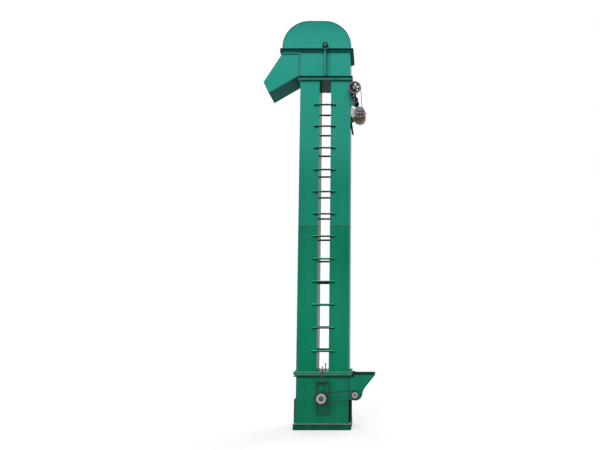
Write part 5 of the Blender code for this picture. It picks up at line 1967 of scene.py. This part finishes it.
@dataclass
class Drive(SubAssembly):
    """The motor drive: belt, countershaft, chain, sprockets and their brackets."""

    pulley: Pulley = Pulley(groove=0.079, width=0.030, belt=0.020, hub=0.026)
    pulley_inset: float = 0.006
    holes: int = 6
    hole_share: float = 0.25
    hole_radius: float = 0.0145
    hole_circle: float = 0.047
    radius: float = 0.015
    motor_groove: float = 0.031
    motor_flange: float = 0.004
    motor_shaft: float = 0.012
    large: Sprocket = Sprocket(teeth=36, pitch_radius=0.120)
    small: Sprocket = Sprocket(teeth=12, pitch_radius=0.040)
    large_holes: int = 5
    large_hole_radius: float = 0.020
    large_hole_circle: float = 0.072
    cutter_half: float = 0.03
    small_hub: float = 0.024
    hub_bore: float = 0.0222
    hub_radius: float = 0.038
    hub_ends: Pair = (-0.025, 0.005)
    plate_height: float = 0.0062
    plate_gaps: Pair = (0.0067, 0.0052)
    plate: float = 0.0014
    pin: float = 0.0022
    pin_half: float = 0.0088
    block_depth: float = 0.044
    back_plate: float = 0.008
    nut: Bolt = Bolt(0.016, 0.007, 0.0015, 0.004)
    nut_margins: Pair = (0.060, 0.015)
    leg_nut: Bolt = Bolt(0.017, 0.008, 0.0015, 0.004)
    leg_nut_margins: Pair = (0.030, 0.025)
    leg_nut_drop: float = 0.02
    set_screw: Bolt = Bolt(0.008, 0.004, 0.0005)
    edge_bolt: Bolt = Bolt(0.022, 0.008, 0.002)
    edge_bolt_place: Pair = (0.035, 0.0245)

    def build(self) -> None:
        """Builds every piece of the drive."""
        self.dress(Finish.BRACKET, "motor_bracket")
        self._drive_pulley()
        self._motor_pulley()
        ends = (Joint.COUNTERSHAFT, self.pulley.groove), (Joint.MOTOR, self.motor_groove)
        self.v_belt("drive_v_belt", "drive_belt", self.pulley.belt, ends)
        self._head_sprocket()
        self._chain()
        self._countershaft_blocks()
        self._bracket_bolts()

    def _rollers(self) -> list[Triple]:
        """The chain's rollers.

        Returns:
            The x, the z and the outward angle of each.
        """
        large, small = self.large.pitch_radius, self.small.pitch_radius
        path = LoopPath(self.axes[Joint.HEAD], large, self.axes[Joint.COUNTERSHAFT], small)
        count = 2 * round(path.length() / (math.tau * large / self.large.teeth) / 2)
        return [path.at(link * path.length() / count) for link in range(count)]

    def _meshed(self, joint: Joint) -> Matrix:
        """The place of a sprocket made about Y, with the outermost roller between two of its teeth."""
        farthest = max if joint is Joint.HEAD else min
        return about(self.axes[joint], farthest(self._rollers(), key=lambda roller: roller[1])[2])

    @property
    def chain_y(self) -> float:
        """The y of the chain's middle."""
        return (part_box("drive_chain")[0].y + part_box("drive_chain")[1].y) / 2

    def _drive_pulley(self) -> None:
        """The large pulley with its holes, the countershaft and the small sprocket."""
        box, axis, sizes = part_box("drive_pulley"), self.axes[Joint.COUNTERSHAFT], self.pulley
        face, chain_y = box[0].y, self.chain_y
        middle = face + self.pulley_inset + sizes.width / 2
        spots = circle(axis, self.hole_circle, angles(self.holes, self.hole_share), middle)
        cutters = [cross_rod(self.hole_radius, spot, self.cutter_half, 24) for spot in spots]
        wheel = carve(turned(sizes.profile(self.radius, middle), axis, 64), *cutters)
        bands = ((sizes.hub + 0.0002, 4), (sizes.web_radius - 0.0002, 1), (1.0, 2))
        shape = Shape()
        shape.take(number_by_radius(wheel, axis, bands), None)
        shape.take(turned(shaft(self.radius, box, 0.001, 0.003), axis, 32))
        shape.take(self.small.disc(chain_y), 3, self._meshed(Joint.COUNTERSHAFT))
        hub = [(axis.x, chain_y + y, axis.z) for y in self.hub_ends]
        shape.take(rod(self.small_hub, *hub, 32, 0.0015), 3)
        shape.take(turned(plug(self.radius - 0.003, face - 0.0005, face + 0.001), axis, 32), 5)
        finishes = [Finish.DARK_STEEL, Finish.PULLEY_WEB, Finish.PULLEY_RIM, Finish.CHAIN]
        finishes += [Finish.PULLEY_HUB, Finish.SHAFT_END]
        replaced = ["drive_pulley"]
        self.finish(shape, "drive_pulley_turned", Slot.PULLEY, finishes, Body.COUNTERSHAFT, replaced)

    def _motor_pulley(self) -> None:
        """The motor's pulley on its shaft."""
        box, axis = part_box("motor_pulley"), self.axes[Joint.MOTOR]
        half, belt, bore = self.pulley.width / 2, self.pulley.belt / 2, self.motor_shaft
        groove, reach = self.motor_groove, self.motor_groove + self.motor_flange
        front = [(bore, -half), (reach - 0.001, -half), (reach, 0.001 - half)]
        front += [(reach, -belt), (groove, 0.004 - belt)]
        shape = Shape()
        middle = box[0].y + self.pulley_inset + half
        shape.take(turned(shifted(mirrored(front), middle), axis, 40), 1)
        shape.take(turned(shaft(bore, box, 0.001), axis, 28))
        finishes = [Finish.PULLEY_HUB, Finish.PULLEY_RIM]
        self.finish(shape, "motor_pulley_turned", Slot.PULLEY, finishes, Body.MOTOR, ["motor_pulley"])

    def _head_sprocket(self) -> None:
        """The large sprocket with its hub and set screw."""
        axis, chain_y = self.axes[Joint.HEAD], self.chain_y
        spots = circle(Vector(), self.large_hole_circle, angles(self.large_holes, 0.5), chain_y)
        cutters = [cross_rod(self.large_hole_radius, spot, self.cutter_half, 24) for spot in spots]
        near, far = (chain_y + y for y in self.hub_ends)
        shape = Shape()
        shape.take(carve(self.large.disc(chain_y), *cutters), 0, self._meshed(Joint.HEAD))
        shape.take(turned(ring(self.hub_bore, self.hub_radius, near, far), axis, 36))
        self.set_screw.seat(shape, [(axis.x, chain_y - 0.015, axis.z + self.hub_radius)], UP)
        replaced = ["head_sprocket"]
        self.finish(shape, "head_sprocket_toothed", Slot.CHAIN, [Finish.CHAIN], Body.HEAD, replaced)

    def _chain(self) -> None:
        """The roller chain: pairs of plates, by turns outside and inside, on rollers."""
        rollers, middle, height = self._rollers(), self.chain_y, self.plate_height
        shape = Shape()
        for link, ((x0, z0, _), (x1, z1, _)) in enumerate(zip(rollers, rollers[1:] + rollers[:1])):
            gap = self.plate_gaps[link % 2]
            ends = arc((0.0, 0.0), height, math.pi / 2, math.pi * 1.5, 5)
            ends += arc((math.hypot(x1 - x0, z1 - z0), 0.0), height, -math.pi / 2, math.pi / 2, 5)
            place = about(Vector((x0, 0.0, z0)), math.atan2(z1 - z0, x1 - x0))
            for way in (-1, 1):
                near, far = middle + way * gap, middle + way * (gap + self.plate)
                shape.take(extruded(ends, near, far), 0, place)
            shape.take(cross_rod(self.large.roller, (x0, middle, z0), self.plate_gaps[1], 10))
            shape.take(cross_rod(self.pin, (x0, middle, z0), self.pin_half, 8))
        self.finish(shape, "drive_roller_chain", Slot.CHAIN, [Finish.CHAIN], stands_for=["drive_chain"])

    def _countershaft_blocks(self) -> None:
        """The plate and the two bearing blocks of the countershaft."""
        low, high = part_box("countershaft_bracket")
        axis, plate = self.axes[Joint.COUNTERSHAFT], low.x + self.back_plate
        bore, half, deep = self.radius + RUNNING_GAP, high.x - axis.x, self.block_depth / 2
        shape = Shape()
        shape.take(block(low, (plate, high.y, high.z), 0.0015))
        web_low = (plate - 0.001, low.y + 0.050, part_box("motor_bracket")[1].z + 0.001)
        shape.take(block(web_low, (axis.x - 0.020, low.y + 0.056, low.z + 0.040), 0.001))
        front = [(bore, 0.001 - deep), (half - 0.003, 0.001 - deep), (half, 0.005 - deep)]
        for middle in (low.y + deep, high.y - deep):
            first = (plate - 0.002, middle - deep + 0.004, axis.z - half + 0.004)
            shape.take(block(first, (axis.x - bore, middle + deep - 0.004, axis.z + half - 0.004), 0.003))
            shape.take(turned(shifted(mirrored(front), middle), axis, 36))
            nipple = [(axis.x, middle, axis.z + half + rise) for rise in (-0.001, 0.007)]
            shape.take(rod(0.003, *nipple, 10, 0.001), 1)
        across, up = self.nut_margins
        for z in (low.z + up, high.z - up):
            spots = along((plate, low.y + across, z), (plate, high.y - across, z), 3)
            self.nut.seat(shape, spots, (1.0, 0.0, 0.0), 1)
        finishes = [Finish.DARK_STEEL, Finish.ZINC]
        self.finish(shape, "countershaft_blocks", Slot.CAST, finishes, stands_for=["countershaft_bracket"])

    def _bracket_bolts(self) -> None:
        """The bolts that hold the motor's bracket to the leg."""
        low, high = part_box("motor_bracket")
        across, up = self.leg_nut_margins
        shape = Shape()
        for z in (low.z + up, (low.z + high.z) / 2 - self.leg_nut_drop, high.z - up):
            spots = [(low.x + self.back_plate, y, z) for y in (low.y + across, high.y - across)]
            self.leg_nut.seat(shape, spots, (1.0, 0.0, 0.0))
        across, down = self.edge_bolt_place
        self.edge_bolt.seat(shape, [(low.x + across, low.y, high.z - down)], Side.FRONT.outward)
        self.finish(shape, "motor_bracket_bolts", Slot.STEEL, [Finish.DARK_STEEL])


@dataclass
class Motor(SubAssembly):
    """The foot-mounted motor: end shield, ribbed frame, cowl, feet and terminal box."""

    radius: float = 0.080
    shield_radius: float = 0.074
    shield_length: float = 0.030
    bore: float = 0.0135
    ribs: int = 8
    pockets: int = 4
    bolt: Bolt = Bolt(0.010, 0.005, 0.001)
    bolt_circle: float = 0.068
    frame_length: float = 0.115
    rear_length: float = 0.100
    fins: int = 30
    fin_height: float = 0.010
    fin_thickness: float = 0.0025
    fin_limit: float = -0.80
    cowl_rise: float = 0.005
    slots: int = 4
    slot_start: float = 0.026
    slot_pitch: float = 0.010
    slot_width: float = 0.005
    screw: Bolt = Bolt(0.007, 0.003, 0.0005)
    foot_height: float = 0.090
    foot_ends: Pair = (0.090, 0.240)
    pad: Triple = (0.010, 0.036, 0.040)
    foot_bolt: Bolt = Bolt(0.014, 0.007, 0.0015, 0.004)
    box_middle: float = 0.165
    box_half: float = 0.040
    eye_place: float = 0.075
    gusset_bolt: Bolt = Bolt(0.012, 0.005, 0.001)

    def build(self) -> None:
        """Builds the motor in place of its plain node, with its gusset and its stay."""
        low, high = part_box("motor")
        shape = Shape()
        self._shield(shape, low.y)
        start = low.y + self.shield_length
        for number, length in enumerate((self.frame_length, self.rear_length), 1):
            self._frame(shape, start, start + length, number)
            start += length
        self._cowl(shape, start, high.y)
        self._feet(shape, low)
        self._box(shape, low.y, high.z)
        self._eye(shape, low.y)
        finishes = [Finish.MOTOR_GREY, Finish.MOTOR_FRAME, Finish.MOTOR_COWL]
        finishes += [Finish.PALE_CAST, Finish.GASKET, Finish.ZINC]
        self.finish(shape, "motor_detailed", Slot.MOTOR, finishes, stands_for=["motor"])
        self._gusset(low.y)
        self._stay()

    @property
    def axis(self) -> Vector:
        """A point on the motor's axis."""
        return self.axes[Joint.MOTOR]

    def _stay(self) -> None:
        """The stay of angle steel on the bracket's lower end, which leans away from the leg. Its dark paint
        is painted shade of the leg's side below the motor.
        """
        low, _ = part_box("motor_bracket")
        wall, foot = low.x + 0.0078, low.z
        flange = [(0.0, 0.045), (0.009, 0.045), (0.0185, -0.004), (0.038, -0.142), (0.014, -0.142)]
        flange += [(-0.004, -0.010), (-0.004, -0.0005), (0.0, -0.0005)]
        leaf = [*flange[1:4], (0.033, -0.142), (0.0135, -0.004), (0.004, 0.045)]
        shape = Shape()
        for outline, near, far in ((flange, -0.050, -0.044), (leaf, -0.0445, -0.020)):
            shape.take(extruded([(wall + x, foot + z) for x, z in outline], near, far, 0.0008))
        self.finish(shape, "motor_bracket_stay", Slot.GREEN, [Finish.STAY])

    def _gusset(self, front: float) -> None:
        """The pale gusset between the leg's bracket and the motor, cut round the motor.

        Args:
            front: The y of the motor's front face.
        """
        axis, wall, near = self.axis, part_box("motor_bracket")[0].x + 0.0083, front + 0.022
        edge = arc((axis.x, axis.z), self.radius + 0.003, math.radians(225), math.radians(135), 12)
        outline = [(wall, edge[0][1]), *edge, (wall, edge[-1][1] + 0.016)]
        shape = Shape()
        shape.take(extruded(outline, near, near + 0.008, 0.001))
        spots = [(wall + 0.018, near, z) for z in (axis.z - 0.035, axis.z + 0.045)]
        self.gusset_bolt.seat(shape, spots, Side.FRONT.outward, 1)
        self.finish(shape, "motor_gusset", Slot.MOTOR, [Finish.PALE_CAST, Finish.DARK_STEEL])

    def _shield(self, shape: Shape, front: float) -> None:
        """The front end shield: a pale hub, ribs with dark pockets of painted shade between those on its
        lower side, and its bolts.

        Args:
            shape: The motor's shape.
            front: The y of its front face.
        """
        reach, bore, depth = self.shield_radius, self.bore, self.shield_length + 0.003
        profile = [(bore, 0.0), (0.026, 0.0), (0.028, 0.002), (0.029, 0.012), (0.058, 0.016)]
        profile += [(reach - 0.008, 0.010), (reach - 0.003, 0.010), (reach, 0.013), (reach, depth)]
        shape.take(turned(shifted([*profile, (bore, depth), (bore, 0.0)], front), self.axis, 48))
        hub = [(bore + 0.001, -0.0008), (0.025, -0.0008), (0.0255, 0.002), (bore + 0.001, 0.002)]
        shape.take(turned(shifted([*hub, hub[0]], front), self.axis, 40), 3)
        for angle in angles(self.ribs, 0.5):
            rib = block((0.027, front + 0.006, -0.003), (0.068, front + 0.020, 0.003), 0.001)
            shape.take(rib, 0, about(self.axis, angle))
        # Only the pockets from the lower left round to the right are dark: painted shade.
        for angle in angles(self.ribs, 1.0)[-self.pockets:]:
            pocket = block((0.036, front + 0.0120, -0.009), (0.058, front + 0.0165, 0.009), 0.001)
            shape.take(pocket, 4, about(self.axis, angle))
        spots = circle(self.axis, self.bolt_circle, angles(4, 0.5), front + 0.010)
        self.bolt.seat(shape, spots, Side.FRONT.outward, 5)

    def _frame(self, shape: Shape, start: float, end: float, finish: int) -> None:
        """One stretch of the ribbed stator frame. The side towards the feet has no fins.

        Args:
            shape: The motor's shape.
            start: The y where it starts.
            end: The y where it ends.
            finish: The number of its material.
        """
        core, half = self.radius - self.fin_height, self.fin_thickness / 2
        first, last = (core - 0.002, start + 0.004, -half), (self.radius, end - 0.004, half)
        shape.take(turned(plug(core, start, end), self.axis, 48), finish)
        for y in (start, end - 0.006):
            shape.take(turned(ring(core - 0.002, self.radius - 0.003, y, y + 0.006), self.axis, 48), finish)
        for angle in angles(self.fins, 0.5):
            if math.cos(angle) >= self.fin_limit:
                shape.take(block(first, last, 0.0006), finish, about(self.axis, angle))

    def _cowl(self, shape: Shape, start: float, back: float) -> None:
        """The fan cowl with its grille.

        Args:
            shape: The motor's shape.
            start: The y where it starts.
            back: The y of the motor's back end.
        """
        reach = self.radius + self.cowl_rise
        profile = [(reach - 0.004, start), (reach, start + 0.001), (reach, back - 0.014)]
        profile += [(reach - 0.005, back - 0.005), (reach - 0.014, back)]
        profile += [(0.020, back), (0.018, back - 0.002), (0.0, back - 0.002)]
        shape.take(turned([*profile, (0.0, start + 0.004), (reach - 0.004, start)], self.axis, 48), 2)
        for slot in range(self.slots):
            inner = self.slot_start + slot * self.slot_pitch
            groove = ring(inner, inner + self.slot_width, back - 0.0005, back + SKIN)
            shape.take(turned(groove, self.axis, 40), 4)
        for angle in angles(4, 0.5):
            spots = circle(self.axis, reach, [angle], start + 0.012)
            self.screw.seat(shape, spots, (math.cos(angle), 0.0, math.sin(angle)), 5)

    def _feet(self, shape: Shape, low: Vector) -> None:
        """The cast feet towards the leg, with their bolts.

        Args:
            shape: The motor's shape.
            low: The motor's lowest corner.
        """
        axis, foot = self.axis, self.axis.x - self.foot_height
        near, far = (low.y + end for end in self.foot_ends)
        thick, wide, tall = self.pad
        for z in (low.z + 0.005, axis.z + 0.035):
            for y in (near, far - wide):
                shape.take(block((foot, y, z), (foot + thick, y + wide, z + tall), 0.002), 3)
                spot = (foot + thick, y + wide / 2, z + tall / 2)
                self.foot_bolt.seat(shape, [spot], (1.0, 0.0, 0.0), 5)
        web = axis.x - 0.050
        for start, end, x in ((-0.036, -0.024, web), (0.024, 0.036, web), (-0.030, 0.030, foot + 0.008)):
            shape.take(block((foot, near, axis.z + start), (x, far, axis.z + end), 0.0015), 3)

    def _box(self, shape: Shape, front: float, top: float) -> None:
        """The terminal box with its lid and blind gland.

        Args:
            shape: The motor's shape.
            front: The y of the motor's front face.
            top: The height of the lid's upper face.
        """
        x, y, half = self.axis.x, front + self.box_middle, self.box_half
        lid, screw, bottom = half + 0.001, half - 0.008, self.axis.z + 0.050
        shape.take(block((x - half, y - half, bottom), (x + half, y + half, top - 0.007), 0.003), 3)
        shape.take(block((x - lid, y - lid, top - 0.0065), (x + lid, y + lid, top), 0.002), 3)
        for across in (-screw, screw):
            for deep in (-screw, screw):
                spot = Vector((x + across, y + deep, top))
                shape.take(rod(0.003, spot - Vector(UP) * 0.001, spot + Vector(UP) * 0.001, 10), 5)
        z = self.axis.z + self.radius + 0.012
        shape.take(rod(0.009, (x + half - 0.002, y, z), (x + half + 0.010, y, z), 12, 0.001), 4)

    def _eye(self, shape: Shape, front: float) -> None:
        """The lifting eye opposite the feet.

        Args:
            shape: The motor's shape.
            front: The y of the motor's front face.
        """
        y, z, base = front + self.eye_place, self.axis.z, self.axis.x + self.radius - 0.012
        shape.take(rod(0.007, (base, y, z), (base + 0.016, y, z), 12), 5)
        eye = turned([*arc((0.010, 0.0), 0.003, 0.0, math.tau, 10)[:-1], (0.013, 0.0)], Vector(), 20)
        upright = Matrix.Rotation(math.pi / 2, 4, "X")
        shape.take(eye, 5, Matrix.Translation((base + 0.024, y, z)) @ upright)


@dataclass
class BucketBelt(SubAssembly):
    """The belt with its pressed buckets, standing still on the drums."""

    seat: float = 0.0009
    thickness: float = 0.006
    half_width: float = 0.150
    bucket_half: float = 0.140
    sheet: float = 0.0025
    pitch: float = 0.235
    half_height: float = 0.055
    floor_reach: float = 0.075
    lip_reach: float = 0.118
    bolt: Bolt = Bolt(0.013, 0.005, 0.001)
    bolt_places: Triple = (-0.09, 0.0, 0.09)

    def build(self) -> None:
        """Builds the belt and its buckets."""
        tail, head, radius = self.axes[Joint.TAIL], self.axes[Joint.HEAD], DRUM_RADIUS + self.seat
        shape = Shape()
        half, thick = self.half_width, self.thickness
        section = [(0.0, -half), (thick, -half), (thick, half), (0.0, half)]
        shape.take(LoopPath(tail, radius, head, radius).band(section))
        outer = LoopPath(tail, radius + thick, head, radius + thick)
        length = outer.length()
        count = round(length / self.pitch)
        for step in range(count):
            x, z, outward = outer.at((step + 0.5) * length / count)
            place = about(Vector((x, 0.0, z)), outward)
            shape.take(self._bucket(), 1, place)
            spots = [place @ Vector((0.003, y, 0.022)) for y in self.bolt_places]
            self.bolt.seat(shape, spots, (math.cos(outward), 0.0, math.sin(outward)), 2)
        finishes = [Finish.BELTING, Finish.BUCKET, Finish.ZINC]
        self.finish(shape, "bucket_belt_loaded", Slot.BELTING, finishes, stands_for=["bucket_belt"])

    def _bucket(self) -> BMesh:
        """One open bucket.

        Returns:
            The mesh, with its back on the belt at x = 0 and its mouth towards +Z.
        """
        half, reach = self.half_height, self.lip_reach
        outline = [(0.0, -half), (0.030, -half), (self.floor_reach, -0.045), (reach - 0.014, -0.018)]
        made = extruded([*outline, (reach, 0.020), (0.0, half)], -self.bucket_half, self.bucket_half)
        slope = Vector((half - 0.020, 0.0, reach)).normalized()
        mouth = [face for face in made.faces if face.normal.dot(slope) > 0.95]
        bmesh.ops.delete(made, geom=mouth, context="FACES_ONLY")
        bmesh.ops.solidify(made, geom=made.faces[:], thickness=self.sheet)
        bmesh.ops.recalc_face_normals(made, faces=made.faces[:])
        return made


@dataclass(frozen=True)
class Sun:
    """A distant soft lamp."""

    name: str
    towards: Triple
    strength: float
    spread: float = 60.0

    def build(self) -> None:
        """Hangs the lamp. Its direction runs from the object to the lamp, and its spread is in degrees."""
        data = bpy.data.lights.new(self.name, "SUN")
        data.energy = self.strength
        data.angle = math.radians(self.spread)
        lamp = bpy.data.objects.new(self.name, data)
        lamp.rotation_mode = "QUATERNION"
        lamp.rotation_quaternion = Vector(self.towards).to_track_quat("Z", "Y")
        lamp.visible_glossy = False
        bpy.context.scene.collection.objects.link(lamp)


@dataclass(frozen=True)
class Studio:
    """The pale floor, the even light and the camera."""

    camera_place: Triple = (0.6751, -8.0909, 1.4707)
    camera_pitch: float = 6.726
    lens: float = 36.0
    sensor: float = 36.0
    shift: Pair = (-0.1247, 0.03)
    clip_end: float = 400.0
    floor_half: float = 120.0
    floor_depth: float = 0.0005
    ambient: float = 0.34
    floor_bounce: float = 0.14
    floor_tone: float = 0.40
    floor_glow: float = 0.52
    suns: tuple[Sun, ...] = (
        Sun("key", (-0.10, -0.90, 0.42), 2.6),
        Sun("top", (0.1, 0.1, 1.0), 1.0),
        Sun("rim", (0.62, 0.62, 0.48), 1.3, 45.0),
        Sun("back", (-0.50, 0.80, 0.34), 1.2),
    )

    def build(self) -> None:
        """Builds the stage."""
        self._camera()
        self._world()
        self._floor()
        for sun in self.suns:
            sun.build()
        bpy.context.scene.view_settings.view_transform = "Standard"

    def _camera(self) -> None:
        """The camera at the photograph's viewpoint."""
        data = bpy.data.cameras.new("camera")
        data.lens, data.sensor_width = self.lens, self.sensor
        data.shift_x, data.shift_y = self.shift
        data.clip_end = self.clip_end
        camera = bpy.data.objects.new("camera", data)
        camera.location = self.camera_place
        camera.rotation_euler = (math.radians(90.0 + self.camera_pitch), 0.0, 0.0)
        bpy.context.scene.collection.objects.link(camera)
        bpy.context.scene.camera = camera

    @staticmethod
    def _split(graph: Graph, lighting: Node, seen: Node) -> NodeSocket:
        """Joins two shaders by the kind of ray.

        Args:
            graph: The graph that holds them.
            lighting: The shader that lights the object.
            seen: The shader that camera, glossy and transmission rays see.

        Returns:
            The joined shader.
        """
        path = graph.node("ShaderNodeLightPath").outputs
        mirror = graph.math("MAXIMUM", path["Is Glossy Ray"], path["Is Transmission Ray"])
        share = graph.math("MAXIMUM", path["Is Camera Ray"], mirror)
        inputs = {0: share, 1: lighting.outputs[0], 2: seen.outputs[0]}
        return graph.node("ShaderNodeMixShader", inputs).outputs[0]

    def _world(self) -> None:
        """A white background over a dim even light."""
        world = bpy.context.scene.world = bpy.data.worlds.new("studio")
        world.use_nodes = True
        graph = Graph(world.node_tree)
        graph.tree.nodes.clear()
        light = graph.node("ShaderNodeBackground", {"Color": WHITE, "Strength": self.ambient})
        white = graph.node("ShaderNodeBackground", {"Color": WHITE, "Strength": 1.0})
        graph.node("ShaderNodeOutputWorld", {"Surface": self._split(graph, light, white)})

    def _floor(self) -> None:
        """A pale floor that keeps the object's shadow and throws little light up."""
        made = bmesh.new()
        bmesh.ops.create_grid(made, x_segments=1, y_segments=1, size=self.floor_half)
        bmesh.ops.translate(made, vec=(0.0, 0.0, -self.floor_depth), verts=made.verts[:])
        material = bpy.data.materials.new("floor")
        material.use_nodes = True
        graph = Graph(material.node_tree)
        graph.tree.nodes.clear()
        dark = graph.node("ShaderNodeBsdfDiffuse", {"Color": (*[self.floor_bounce] * 3, 1.0)})
        pale = graph.node("ShaderNodeBsdfDiffuse", {"Color": (*[self.floor_tone] * 3, 1.0)})
        glow = graph.node("ShaderNodeEmission", {"Color": WHITE, "Strength": self.floor_glow})
        lit = graph.node("ShaderNodeAddShader", {0: pale.outputs[0], 1: glow.outputs[0]})
        graph.node("ShaderNodeOutputMaterial", {"Surface": self._split(graph, dark, lit)})
        mesh = bpy.data.meshes.new("floor")
        made.to_mesh(mesh)
        made.free()
        mesh.materials.append(material)
        floor = bpy.data.objects.new("floor", mesh)
        bpy.context.scene.collection.objects.link(floor)


def main() -> None:
    """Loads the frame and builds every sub-assembly."""
    logging.basicConfig(level=logging.INFO, format="%(name)s %(message)s")
    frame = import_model()
    axes = {Joint(joint["name"]): Vector(joint["pos_m"]) for joint in frame["joints"]}
    Studio().build()
    effects = EffectLibrary()
    palette = {finish: finish.build(effects, axes) for finish in Finish}
    for kind in (Hood, Head, Spout, HeadShaft, Legs, Boot, Inlet, Drive, Motor, BucketBelt):
        kind(palette, axes).build()


if __name__ == "__main__":
    main()
